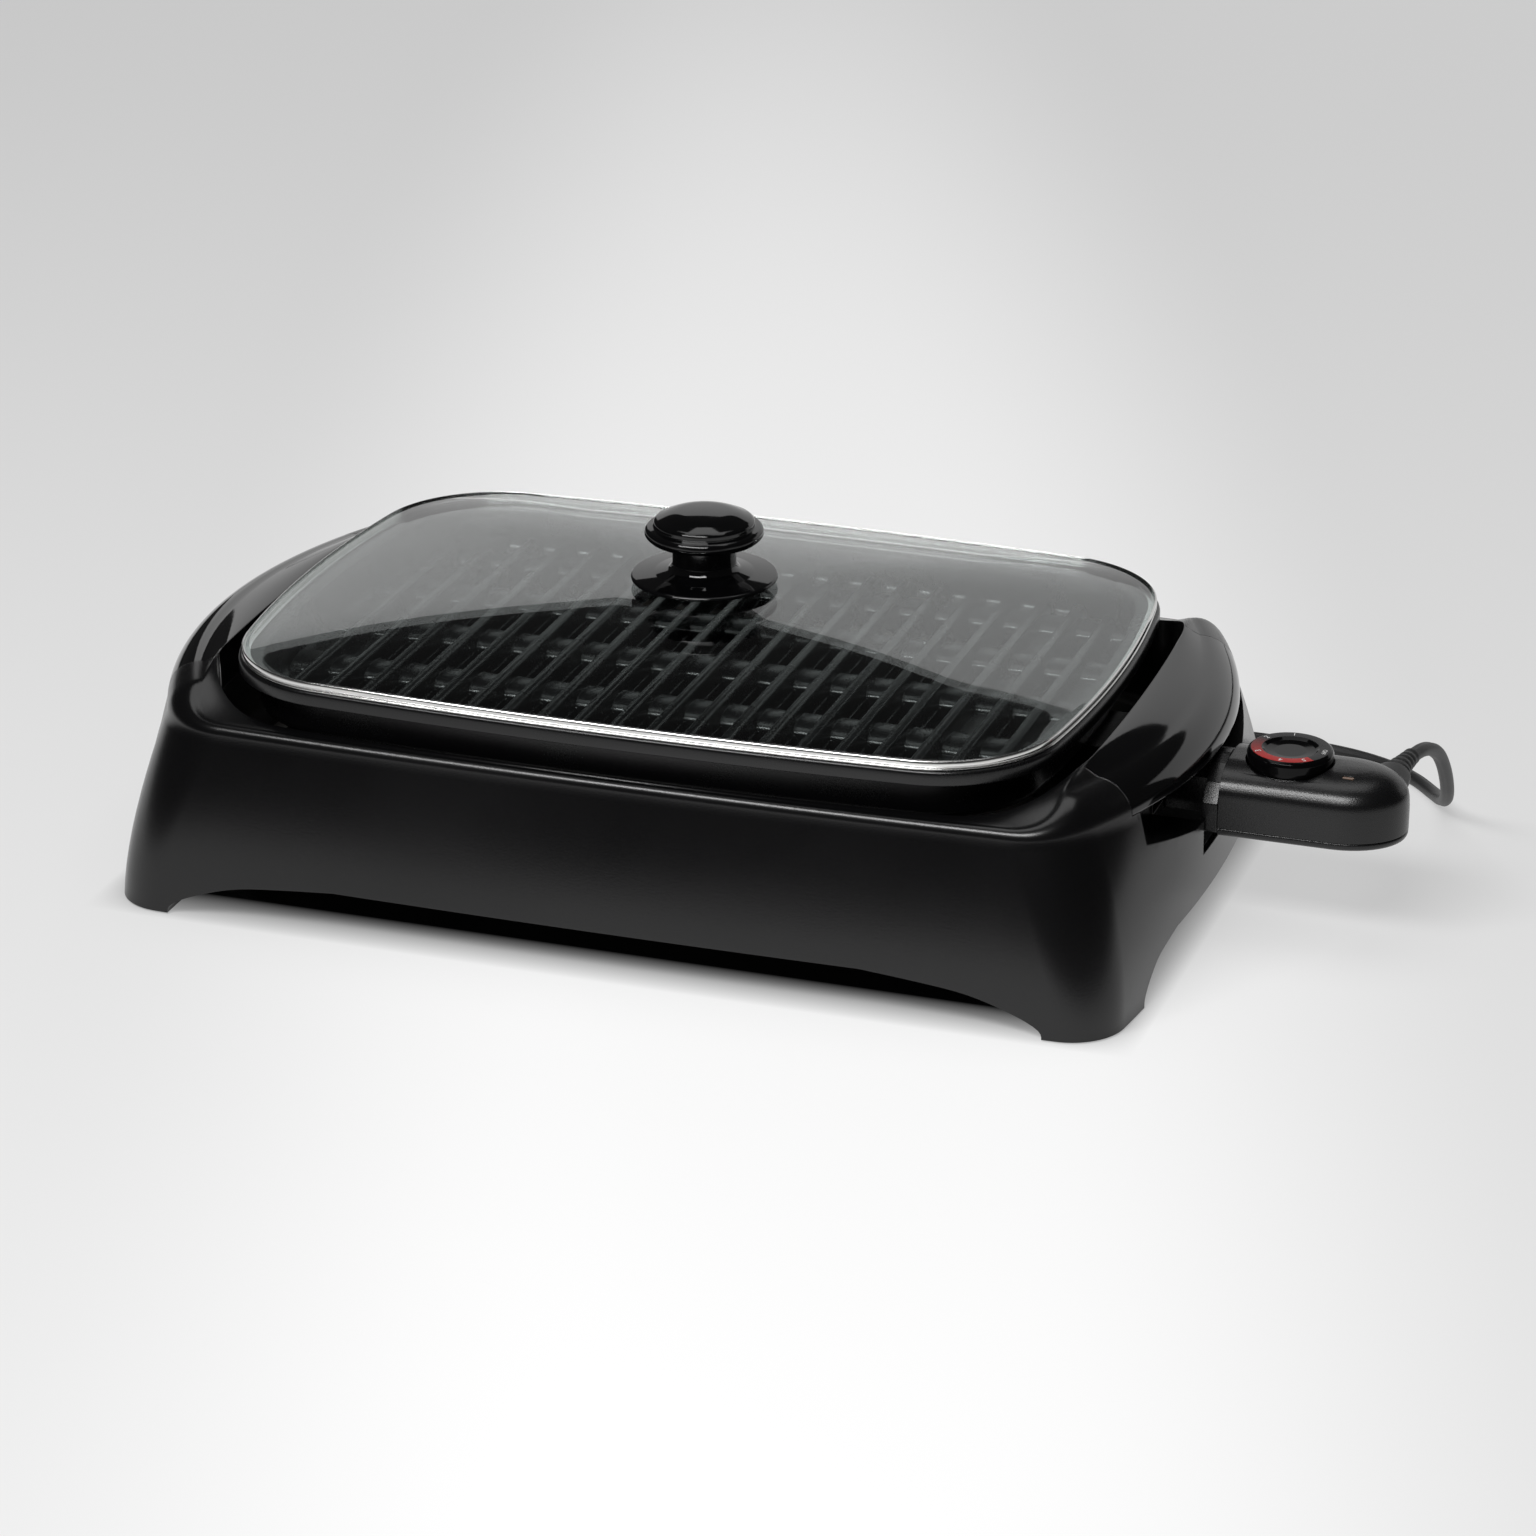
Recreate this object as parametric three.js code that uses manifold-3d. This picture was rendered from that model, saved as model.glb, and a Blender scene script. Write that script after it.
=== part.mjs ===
// An electric griddle with a glass lid and a plug-in temperature control, as separate pieces.
// Millimetres, +Z up. The pieces are drawn about the griddle's own middle, +X towards the control,
// and the whole group is moved at the end so that its origin is under the middle of its box.
import * as THREE from "three";
import { mergeVertices } from "three/addons/utils/BufferGeometryUtils.js";
import Module from "manifold-3d";

const wasm = await Module();
wasm.setup();

// ---------------------------------------------------------------- driving dimensions
const touchGap = 0.3; // left between pieces that touch
const runGap = 0.6; // left round pieces that turn or slide

const base = {
  halfLength: 268.5, footHalfDepth: 169, shoulderHalfDepth: 152.5, // skirt, at the floor and at the shoulder
  footEndRadius: 1000, shoulderEndRadius: 280, sideRadius: 6000, // bow of the ends and of the long sides
  footCorner: 28, shoulderCorner: 44,
  bottom: 0.9, shoulder: 92, rim: 98, endRise: 16, // heights; the rim climbs by endRise towards the ends
  turnWidth: 4, turnHeight: 5.2, endTurnWidth: 18, endTurnHeight: 17.2, // rounding above the shoulder, and at a handle
  wall: 3, archHeight: 24.5, legLength: 46, legDepth: 54, legFloor: 6,
};
const baseArcs = [5, 4, 3], lidArcs = [3, 5, 3]; // steps on a quarter's end, corner and side arcs
const well = {
  halfLength: 227.5, halfDepth: 147.5, endRadius: 1500, sideRadius: 2345, corner: 60, lip: 2.6, lipBottom: 44,
};
const handle = { halfWidth: 95, slant: 0.16, bottom: 93, ledge: 3, screwX: 233, screwY: 78, screwDeep: 8 };
const smallScrew = { radius: 1.6, headRadius: 3.6, headHeight: 2.3 }; // the handles' screws
const pocket = { depthX: 240, halfWidth: 95, floor: 64, endFloor: 76, flatHalfWidth: 42, wall: 2.5 };
const plate = {
  halfLength: 217.5, halfDepth: 151.5, endRadius: 680, sideRadius: 2345, corner: 63,
  top: 121, flangeBottom: 113.5, flangeWall: 3, rimWidth: 13.5, panInset: 10, floor: 98, underside: 92,
};
const ridge = { pitch: 18.9, count: 20, footWidth: 8, topWidth: 5, top: 108 };
const slot = { rows: 4, pitch: 57, length: 32 };
// The heating element lies inside the plate's outline, the terminals' boss at the plate's right end.
const elementTube = {
  radius: 3.5, z: 87.8, side: 95, left: 52.5 - plate.halfLength, right: plate.halfLength - 67.5, bend: 14,
};
const solidChannels = [elementTube.left, elementTube.right]; // the floor stays closed over the heating element
const pinSpread = 9.5; // of each contact pin from the middle
const terminal = {
  z: 72, spread: pinSpread, pinRadius: 2.4, pinTip: base.halfLength - 6.5,
  bossBack: plate.halfLength - 39.5, bossFace: plate.halfLength + 4.5, bossHalfWidth: 2 * pinSpread + 5, bossBottom: 62,
  screwRadius: 1.5, screwHead: 2.4, screwRise: 4, screwDeep: 6,
};
const guard = { reach: 240, halfWidth: terminal.bossHalfWidth + 0.5, sheet: 1, bottom: 60, top: 84 };
const tray = { halfLength: 213, halfDepth: 136, corner: 46, bottom: 30.5, top: 56, wall: 1.2, flange: 6 };
const lid = { inX: 1.7, inY: 0.5, glass: 4, crown: 20, band: 4.6, bandWidth: 4.4, bandSheet: 0.9 };
const knob = {
  flangeRadius: 37, stemRadius: 16, capRadius: 30, flangeRim: 149.5, stemTop: 165, height: 183.2, screwRadius: 2.5,
};
const foot = { fromEnd: 28.5, fromSide: 23, radius: 9, height: 5 };
// The control stands at the base's right end, so its lengthwise places follow that end.
const endX = base.halfLength;
const probe = {
  back: endX + 4.7, tip: endX + 93, halfWidth: 27, roundLength: 33, bottom: 55, parting: 59.6, shoulder: 71, crest: 89,
  wall: 2.4, collarBack: endX - 2.9, collarGrow: 0.7, noseBack: endX - 25.5, noseHalfWidth: pinSpread + 7.5,
  noseBottom: 63, noseTop: 81,
  openingGap: 3.5, openingBottom: 46, // of the hole in the base that the nose goes in by
};
const sensor = { radius: 3, tip: terminal.bossBack + 12 };
// corner shelves that reach from the shell in under the drip tray
const bracket = {
  inner: 150, outer: base.halfLength - 36.5, front: 108, back: base.footHalfDepth - 9, sheet: 3,
};
const sleeve = { radius: 3.4, deep: 3 };
// screw posts inside the control
const post = {
  x: endX + 39.5, y: probe.halfWidth - 10, radius: 3.4, top: 84, screwRadius: 1.3, screwHead: 2.3, screwTop: 69,
};
const contact = { back: 6.4, front: 14, halfWidth: pinSpread + 5.5, bottom: 62, top: 80 };
const thermostat = { back: endX + 22, front: endX + 49.5, halfWidth: 11, bottom: 63, top: 77 };
const lamp = { radius: 2, bottom: 66, top: 78 };
const dial = {
  x: endX + 33.5, radius: 21.2, bottom: 86.6, top: 95.4, dishRadius: 14.5, dishDepth: 1.6,
  bossRadius: 20.4, shaftRadius: 3,
};
const lens = { x: endX + 65, y: -12, length: 7, width: 3.2 };
const cord = { radius: 3.6, coilRadius: 40, coilX: 110, coilY: 262, coilTurns: 2, coilSlack: 1 };
const plug = {
  x: 2, y: 222, length: 34, width: 24, height: 18, bladeLength: 16, bladeGap: 12.7, bladeHalf: 3.2, bladeSheet: 1.5,
};

// ---------------------------------------------------------------- solids
// A closed geometry as a manifold-3d solid.
function solid(geometry) {
  const bare = geometry.clone();
  bare.deleteAttribute("normal");
  bare.deleteAttribute("uv");
  const merged = mergeVertices(bare, 1e-4);
  return new wasm.Manifold(new wasm.Mesh({
    numProp: 3,
    vertProperties: new Float32Array(merged.attributes.position.array),
    triVerts: new Uint32Array(merged.index.array),
  }));
}

function geometryOf(shape) {
  const mesh = shape.getMesh();
  const geometry = new THREE.BufferGeometry();
  geometry.setAttribute("position", new THREE.BufferAttribute(new Float32Array(mesh.vertProperties), 3));
  geometry.setIndex(new THREE.BufferAttribute(new Uint32Array(mesh.triVerts), 1));
  const flat = geometry.toNonIndexed();
  flat.computeVertexNormals();
  return flat;
}

const add = (first, ...others) => others.reduce((sum, other) => sum.add(other), first);
const cut = (first, ...others) => others.reduce((rest, other) => rest.subtract(other), first);

function box(x0, x1, y0, y1, z0, z1) {
  const shape = new THREE.BoxGeometry(x1 - x0, y1 - y0, z1 - z0);
  return solid(shape.translate((x0 + x1) / 2, (y0 + y1) / 2, (z0 + z1) / 2));
}

// Extrudes a closed outline of [x, y] points between two heights.
function prism(points, z0, z1) {
  const shape = new THREE.Shape(points.map(([x, y]) => new THREE.Vector2(x, y)));
  return solid(new THREE.ExtrudeGeometry(shape, { depth: z1 - z0, bevelEnabled: false }).translate(0, 0, z0));
}

// An outline of [y, z] points along X, and one of [x, z] points along Y.
function prismAlongX(points, x0, x1) {
  const shape = new THREE.Shape(points.map(([y, z]) => new THREE.Vector2(y, z)));
  const geometry = new THREE.ExtrudeGeometry(shape, { depth: x1 - x0, bevelEnabled: false });
  return solid(geometry.rotateX(Math.PI / 2).rotateZ(Math.PI / 2).translate(x0, 0, 0));
}

function prismAlongY(points, y0, y1) {
  const shape = new THREE.Shape(points.map(([x, z]) => new THREE.Vector2(x, z)));
  const geometry = new THREE.ExtrudeGeometry(shape, { depth: y1 - y0, bevelEnabled: false });
  return solid(geometry.rotateX(Math.PI / 2).translate(0, y1, 0));
}

// A turned solid from [radius, height] points that start and end on the axis, standing along +Z.
function turned(profile, segments, x = 0, y = 0) {
  const points = profile.map(([radius, height]) => new THREE.Vector2(radius, height));
  return solid(new THREE.LatheGeometry(points, segments).rotateX(Math.PI / 2).translate(x, y, 0));
}

const rod = (x, y, radius, z0, z1, segments = 20) =>
  turned([[0, z0], [radius, z0], [radius, z1], [0, z1]], segments, x, y);

function rodAlongX(y, z, radius, x0, x1, segments = 20) {
  const geometry = new THREE.CylinderGeometry(radius, radius, x1 - x0, segments);
  return solid(geometry.rotateZ(Math.PI / 2).translate((x0 + x1) / 2, y, z));
}

// Skins rings of [x, y, z] points that run the same way round, lowest first, and caps both ends.
function loft(rings) {
  const count = rings[0].length;
  const middle = (ring) => [0, 1, 2].map((k) => ring.reduce((sum, p) => sum + p[k], 0) / count);
  const points = [...rings.flat(), middle(rings[0]), middle(rings.at(-1))];
  const bottomMiddle = points.length - 2, topMiddle = points.length - 1;
  const top = (rings.length - 1) * count;
  const index = [];
  for (let i = 0; i < count; i++) {
    const j = (i + 1) % count;
    index.push(bottomMiddle, j, i, topMiddle, top + i, top + j);
    for (let k = 0; k + 1 < rings.length; k++) {
      const a = k * count;
      index.push(a + i, a + j, a + count + j, a + i, a + count + j, a + count + i);
    }
  }
  const geometry = new THREE.BufferGeometry();
  geometry.setAttribute("position", new THREE.Float32BufferAttribute(points.flat(), 3));
  geometry.setIndex(index);
  return solid(geometry);
}

// A round or oval section swept along a smooth curve through the points.
function sweep(points, radius, sides, steps) {
  const section = new THREE.Shape();
  for (let i = 0; i < sides; i++) {
    const turn = (2 * Math.PI * i) / sides;
    section[i ? "lineTo" : "moveTo"](radius * Math.cos(turn), radius * Math.sin(turn));
  }
  const path = new THREE.CatmullRomCurve3(points.map((p) => new THREE.Vector3(...p)), false, "centripetal");
  return solid(new THREE.ExtrudeGeometry(section, { steps, extrudePath: path }));
}

// ---------------------------------------------------------------- outlines
// A rounded rectangle whose ends and sides are shallow arcs. An inset gives the parallel outline inside it.
function outline({ halfLength, halfDepth, endRadius, sideRadius, corner }, inset = 0, arcs = baseArcs) {
  const a = halfLength - inset, b = halfDepth - inset;
  const end = endRadius - inset, side = sideRadius - inset, round = corner - inset;
  const endX = a - end, sideY = b - side;
  const apart = Math.hypot(endX, sideY);
  const along = ((end - round) ** 2 - (side - round) ** 2 + apart ** 2) / (2 * apart);
  const off = Math.sqrt((end - round) ** 2 - along ** 2);
  const ux = -endX / apart, uy = sideY / apart;
  const cornerX = endX + ux * along - uy * off, cornerY = uy * along + ux * off;
  const endTurn = Math.atan2(cornerY, cornerX - endX);
  const sideTurn = Math.atan2(cornerY - sideY, cornerX);
  const quarter = [];
  const arc = (x, y, radius, from, to, count) => {
    for (let i = 0; i < count; i++) {
      const turn = from + ((to - from) * i) / count;
      quarter.push([x + radius * Math.cos(turn), y + radius * Math.sin(turn)]);
    }
  };
  arc(endX, 0, end, 0, endTurn, arcs[0]);
  arc(cornerX, cornerY, round, endTurn, sideTurn, arcs[1]);
  arc(0, sideY, side, sideTurn, Math.PI / 2, arcs[2]);
  const back = quarter.slice(1).reverse().map(([x, y]) => [-x, y]);
  const half = [...quarter, [0, b], ...back];
  return [...half, ...[...half, [-a, 0]].slice(1).reverse().map(([x, y]) => [x, -y])];
}

const at = (points, z) => points.map(([x, y]) => [x, y, z]);

// Both signs of a size, for what comes in pairs.
const pair = [-1, 1];

// ---------------------------------------------------------------- the group
const group = new THREE.Group();

function piece(name, shape, color, roughness, metalness = 0) {
  const material = new THREE.MeshStandardMaterial({ color, roughness, metalness });
  const mesh = new THREE.Mesh(geometryOf(shape), material);
  mesh.name = name;
  group.add(mesh);
}

// ---------------------------------------------------------------- base
// The skirt's outline at a height: it flares to the floor in front and behind, and its ends bow out higher up.
function skirt(z) {
  const t = Math.max(0, z / base.shoulder);
  const bow = 1 / base.footEndRadius + (1 / base.shoulderEndRadius - 1 / base.footEndRadius) * t ** 1.8;
  return {
    halfLength: base.halfLength,
    halfDepth: base.footHalfDepth - (base.footHalfDepth - base.shoulderHalfDepth) * t ** 1.6,
    endRadius: 1 / bow,
    sideRadius: base.sideRadius,
    corner: base.footCorner - (base.footCorner - base.shoulderCorner) * t,
  };
}

// How far the rim has climbed at a point of the well's edge: none in front, all of it along the handles.
function rimRise(y) {
  const t = Math.min(1, Math.max(0, (well.halfDepth - Math.abs(y)) / (well.halfDepth - handle.halfWidth)));
  return base.endRise * t * t * (3 - 2 * t);
}

function baseBody(inset, from) {
  const drop = inset;
  const rings = [from, 30, 58, 78, base.shoulder - drop].map((z) => at(outline(skirt(z), inset), z));
  const shoulder = skirt(base.shoulder), inner = outline(well);
  const mix = (from, to, share) => from + (to - from) * share;
  for (const turn of [Math.PI / 6, Math.PI / 3, Math.PI / 2]) {
    const narrow = outline(shoulder, inset + base.turnWidth * (1 - Math.cos(turn)));
    const wide = outline(shoulder, inset + base.endTurnWidth * (1 - Math.cos(turn)));
    rings.push(narrow.map(([x, y], i) => {
      const share = rimRise(inner[i][1]) / base.endRise;
      const z = base.shoulder + mix(base.turnHeight, base.endTurnHeight, share) * Math.sin(turn) - drop;
      return [mix(x, wide[i][0], share), mix(y, wide[i][1], share), z];
    }));
  }
  const outer = rings.at(-1);
  for (const share of [0.5, 1]) {
    rings.push(outer.map(([x, y, low], i) => {
      const [ix, iy] = inner[i];
      const high = base.rim + rimRise(iy) - drop;
      return [mix(x, ix, share), mix(y, iy, share), mix(low, high, Math.sin((share * Math.PI) / 2))];
    }));
  }
  return loft(rings);
}

// The arch between two feet, as [across, height] points, its ends rounding down to the floor.
function arch(halfWidth, height) {
  const shape = [[0, -0.1], [0.008, 0.22], [0.085, 0.55], [0.18, 0.79], [0.29, 0.91], [0.4, 1]];
  const right = shape.map(([x, z]) => [halfWidth * (1 - x), height * z]);
  return [...right, ...right.map(([x, z]) => [-x, z]).reverse()];
}

const pocketProfile = (grow) => [
  [-pocket.halfWidth - grow, handle.bottom], [-pocket.halfWidth - grow, pocket.endFloor - grow],
  [-pocket.flatHalfWidth, pocket.floor - grow], [pocket.flatHalfWidth, pocket.floor - grow],
  [pocket.halfWidth + grow, pocket.endFloor - grow], [pocket.halfWidth + grow, handle.bottom],
];

// The plan of a handle on the +X end, its seams slanting outwards. The other end mirrors it.
function handlePlan(grow, side) {
  const inner = well.halfLength - 14, outer = base.halfLength + 6;
  const half = handle.halfWidth + grow, outerHalf = half + (outer - inner) * handle.slant;
  const plan = [[inner, -half], [outer, -outerHalf], [outer, outerHalf], [inner, half]];
  return side > 0 ? plan : plan.map(([x, y]) => [-x, y]).reverse();
}

const outerBody = baseBody(0, base.bottom);
const wellCut = prism(outline(well), well.lipBottom - 4, 140);
const mirrorX = (shape) => shape.mirror([1, 0, 0]);

const screwSpots = pair.flatMap((side) =>
  pair.map((end) => [side, end, side * handle.screwX, end * handle.screwY]));
const footX = base.halfLength - foot.fromEnd, footY = base.footHalfDepth - foot.fromSide;
const footSpots = pair.flatMap((side) => pair.map((end) => [side, end, side * footX, end * footY]));
const sideName = { "-1": "left", "1": "right" };
const endName = { "-1": "front", "1": "back" };

const ordered = (p, q) => [Math.min(p, q), Math.max(p, q)];

function makeBase() {
  const hollow = baseBody(base.wall, base.bottom - 20);
  let shell = outerBody.subtract(hollow);
  const footPlan = outline(skirt(base.legFloor / 2), base.wall - 1);
  const legFloor = prism(footPlan, base.bottom, base.bottom + base.legFloor);
  const lip = prism(outline(well, -well.lip), well.lipBottom, 140).intersect(outerBody);
  shell = add(shell, legFloor.intersect(outerBody), lip);
  for (const mirror of [(s) => s, mirrorX]) {
    const walls = prismAlongX(pocketProfile(pocket.wall), pocket.depthX - pocket.wall, base.halfLength + 10);
    const ledgeTop = handle.bottom - touchGap;
    const { halfWidth } = pocket;
    const ledge = box(well.halfLength, pocket.depthX, -halfWidth, halfWidth, ledgeTop - handle.ledge, ledgeTop);
    shell = shell.add(mirror(add(walls, ledge)).intersect(outerBody));
    shell = shell.subtract(mirror(prismAlongX(pocketProfile(0), pocket.depthX, base.halfLength + 20)));
  }
  for (const [side, end] of screwSpots) {
    const acrossX = ordered(side * bracket.inner, side * bracket.outer);
    const acrossY = ordered(end * bracket.front, end * bracket.back);
    const shelf = box(...acrossX, ...acrossY, tray.bottom - touchGap - bracket.sheet, tray.bottom - touchGap);
    shell = shell.add(shelf.intersect(outerBody));
  }
  const openHalf = probe.halfWidth + probe.openingGap;
  shell = cut(shell, wellCut,
    prismAlongY(arch(base.halfLength + 2.5 - base.legLength, base.archHeight), -200, 200),
    prismAlongX(arch(base.footHalfDepth - base.legDepth, base.archHeight), -300, 300),
    box(well.halfLength - 4, base.halfLength + 20, -openHalf, openHalf,
      probe.openingBottom, handle.bottom - handle.ledge - 2 * touchGap));
  for (const side of pair) {
    shell = shell.subtract(prism(handlePlan(touchGap, side), handle.bottom - touchGap, 140));
  }
  for (const [, , x, y] of screwSpots) {
    shell = shell.subtract(rod(x, y, smallScrew.radius + 2 * touchGap, 80, 100, 12));
  }
  for (const [, , x, y] of footSpots) {
    shell = shell.subtract(rod(x, y, foot.radius + touchGap, -1, foot.height + touchGap));
  }
  return shell;
}

function makeHandle(side) {
  let shape = outerBody.intersect(prism(handlePlan(0, side), handle.bottom, 140)).subtract(wellCut);
  const holeTop = handle.bottom + handle.screwDeep + touchGap;
  for (const [own, , x, y] of screwSpots) {
    if (own === side) shape = shape.subtract(rod(x, y, smallScrew.radius + touchGap, 80, holeTop, 12));
  }
  return shape;
}

piece("base_shell", makeBase(), 0x151517, 0.55);
for (const side of pair) piece(`${sideName[side]}_handle`, makeHandle(side), 0x0a0a0b, 0.12);
for (const [side, end, x, y] of screwSpots) {
  const under = handle.bottom - handle.ledge - 2 * touchGap;
  const shank = rod(x, y, smallScrew.radius, under - 1, handle.bottom + handle.screwDeep, 12);
  const headTop = under - touchGap;
  const screw = shank.add(rod(x, y, smallScrew.headRadius, headTop - smallScrew.headHeight, headTop, 12));
  piece(`handle_screw_${sideName[side]}_${endName[end]}`, screw, 0x9a9a9c, 0.35, 1);
}
for (const [side, end, x, y] of footSpots)
  piece(`foot_${sideName[side]}_${endName[end]}`, rod(x, y, foot.radius, 0, foot.height), 0x1b1b1b, 0.8);

// ---------------------------------------------------------------- drip tray
function makeTray() {
  const plan = { ...tray, endRadius: 4000, sideRadius: 4000 };
  const arcs = [2, 5, 2];
  const ring = (inset, z) => at(outline(plan, inset, arcs), z);
  const pan = loft([ring(8, tray.bottom), ring(2, tray.bottom + 6), ring(0, tray.top)]);
  const inside = loft([
    ring(8 + tray.wall, tray.bottom + tray.wall), ring(2 + tray.wall, tray.bottom + 7), ring(tray.wall, tray.top + 1),
  ]);
  const flange = prism(outline(plan, -tray.flange, arcs), tray.top - tray.wall, tray.top);
  return pan.add(flange).subtract(inside);
}
piece("drip_tray", makeTray(), 0x8f9092, 0.35, 0.9);

// ---------------------------------------------------------------- grill plate
const ridgeX = Array.from({ length: ridge.count }, (_, i) => (i - (ridge.count - 1) / 2) * ridge.pitch);
const pinY = pair.map((side) => side * terminal.spread);

function makePlate() {
  const edge = (inset) => outline(plate, inset, lidArcs);
  const ring = (inset, z) => at(edge(inset), z);
  let shape = add(
    prism(edge(0), plate.flangeBottom, plate.top)
      .subtract(prism(edge(plate.flangeWall), plate.flangeBottom - 1, plate.top - 3)),
    loft([
      ring(plate.panInset + 4, plate.underside), ring(plate.panInset, plate.underside + 6),
      ring(plate.panInset, plate.top - 1),
    ]),
  );
  const { rimWidth, floor, top } = plate;
  shape = shape.subtract(loft([
    ring(rimWidth + 5, floor), ring(rimWidth + 1, floor + 5), ring(rimWidth, top - 3), ring(rimWidth - 2, top + 1),
  ]));
  const slotHalf = (ridge.pitch - ridge.footWidth) / 2 - 0.4;
  const pan = prism(edge(rimWidth + 4), plate.underside + 1, ridge.top);
  const bars = ridgeX.map((x) => {
    const low = ridge.footWidth / 2, high = ridge.topWidth / 2;
    const section = [[x - low, floor - 1], [x + low, floor - 1], [x + high, ridge.top], [x - high, ridge.top]];
    return prismAlongY(section, -plate.halfDepth, plate.halfDepth);
  });
  shape = shape.add(add(...bars).intersect(pan));
  const slots = [];
  for (let i = 0; i + 1 < ridge.count; i++) {
    const x = (ridgeX[i] + ridgeX[i + 1]) / 2;
    if (solidChannels.some((channel) => Math.abs(x - channel) < ridge.pitch / 2)) continue;
    for (let row = 0; row < slot.rows; row++) {
      const y = (row - (slot.rows - 1) / 2) * slot.pitch;
      const [front, back] = [y - slot.length / 2, y + slot.length / 2];
      slots.push(box(x - slotHalf, x + slotHalf, front, back, plate.underside - 5, floor + 2));
    }
  }
  shape = cut(shape, ...slots);
  const { z, bossBack, bossFace, bossHalfWidth, bossBottom } = terminal;
  shape = shape.add(box(bossBack, bossFace, -bossHalfWidth, bossHalfWidth, bossBottom, plate.underside + 1));
  for (const y of pinY) {
    shape = shape.subtract(rodAlongX(y, z, elementTube.radius + touchGap, bossBack - 1, bossFace + 1));
    const screwEnd = bossFace - terminal.screwDeep - 1;
    const holeRadius = terminal.screwRadius + touchGap;
    const screwHole = rodAlongX(2 * y, z + terminal.screwRise, holeRadius, screwEnd, bossFace + 1, 12);
    shape = shape.subtract(screwHole);
  }
  return shape.subtract(rodAlongX(0, z, sensor.radius + runGap, sensor.tip - 2, bossFace + 1));
}
piece("grill_plate", makePlate(), 0x121213, 0.42, 0.2);

// The element is one U-shaped tube under the floor; its cold ends drop into the terminal boss.
function makeElement() {
  const { z, side: reach, left, right, bend } = elementTube;
  const route = (side) => [
    [terminal.bossFace + 3, side * terminal.spread, terminal.z],
    [terminal.bossBack, side * terminal.spread, terminal.z], [terminal.bossBack - 6, side * terminal.spread, terminal.z],
    [right + bend, side * (terminal.spread + 3), terminal.z + 5],
    [right + 4, side * (terminal.spread + 12), z - 4], [right, side * (terminal.spread + bend + 14), z],
    [right, side * (reach - bend), z], [right - bend * 0.3, side * (reach - bend * 0.3), z],
    [right - bend, side * reach, z], [left + bend, side * reach, z],
    [left + bend * 0.3, side * (reach - bend * 0.3), z], [left, side * (reach - bend), z],
  ];
  return sweep([...route(-1), ...route(1).reverse()], elementTube.radius, 8, 72);
}
piece("heating_element", makeElement(), 0x6f7073, 0.4, 1);

for (const side of pair) {
  const pinBack = terminal.bossFace + 3 + touchGap;
  const pin = rodAlongX(side * terminal.spread, terminal.z, terminal.pinRadius, pinBack, terminal.pinTip, 14);
  piece(`terminal_pin_${endName[side]}`, pin, 0xb9bbc0, 0.25, 1);
}

function makeGuard() {
  const { reach, halfWidth, sheet, bottom, top } = guard;
  const back = terminal.bossFace + touchGap;
  let shape = box(back, reach, -halfWidth, halfWidth, bottom, top);
  shape = shape.subtract(
    box(back + sheet, reach + 1, -halfWidth + sheet, halfWidth - sheet, bottom + sheet, top - sheet));
  for (const y of pinY) {
    shape = shape.subtract(rodAlongX(y, terminal.z, elementTube.radius + 1, back - 1, back + 2));
    const screwZ = terminal.z + terminal.screwRise;
    shape = shape.subtract(rodAlongX(2 * y, screwZ, terminal.screwRadius + touchGap, back - 1, back + 2, 12));
  }
  return shape.subtract(rodAlongX(0, terminal.z, sensor.radius + runGap, back - 1, back + 2));
}
piece("terminal_guard", makeGuard(), 0xa5a7ab, 0.35, 1);
for (const side of pair) {
  const y = 2 * side * terminal.spread, z = terminal.z + terminal.screwRise;
  const face = terminal.bossFace + touchGap + guard.sheet + touchGap;
  const shank = rodAlongX(y, z, terminal.screwRadius, face - terminal.screwDeep, face + 1, 12);
  const screw = shank.add(rodAlongX(y, z, terminal.screwHead, face, face + 1.6, 12));
  piece(`guard_screw_${endName[side]}`, screw, 0x9a9a9c, 0.35, 1);
}

// ---------------------------------------------------------------- lid
const lidPlan = {
  halfLength: plate.halfLength - lid.inX, halfDepth: plate.halfDepth - lid.inY,
  endRadius: plate.endRadius, sideRadius: plate.sideRadius, corner: plate.corner,
};
const bandBottom = plate.top + touchGap;
const glassEdge = lid.bandSheet + touchGap;
const glassBottom = bandBottom + lid.bandSheet + touchGap;
const paneTop = glassBottom + lid.glass - 1.5; // of the edge, which the mould leaves 1.5 thinner

// The pane rises from its edge to a low crown; share is 1 at the edge and 0 in the middle.
const crownHeight = (share) => lid.crown * (1 - share ** 2.3);

function pane(offset, edge) {
  const plan = outline(lidPlan, edge, lidArcs);
  return [1, 0.9, 0.7, 0.45, 0.2].map((share) =>
    plan.map(([x, y]) => [x * share, y * share, offset + crownHeight(share)]));
}

function makeGlass() {
  const edge = outline(lidPlan, glassEdge, lidArcs);
  const top = loft([at(edge, glassBottom), ...pane(paneTop, glassEdge)]);
  const under = loft([at(edge, glassBottom - 30), ...pane(paneTop - lid.glass, glassEdge)]);
  const rimHole = prism(outline(lidPlan, glassEdge + 6, lidArcs), glassBottom - 1, paneTop + 1);
  const rim = prism(edge, glassBottom, paneTop).subtract(rimHole);
  return top.subtract(under).add(rim).subtract(rod(0, 0, knob.screwRadius + 1.5, 100, 170, 16));
}
piece("lid_glass", makeGlass(), 0xcfd6d8, 0.05);

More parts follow.
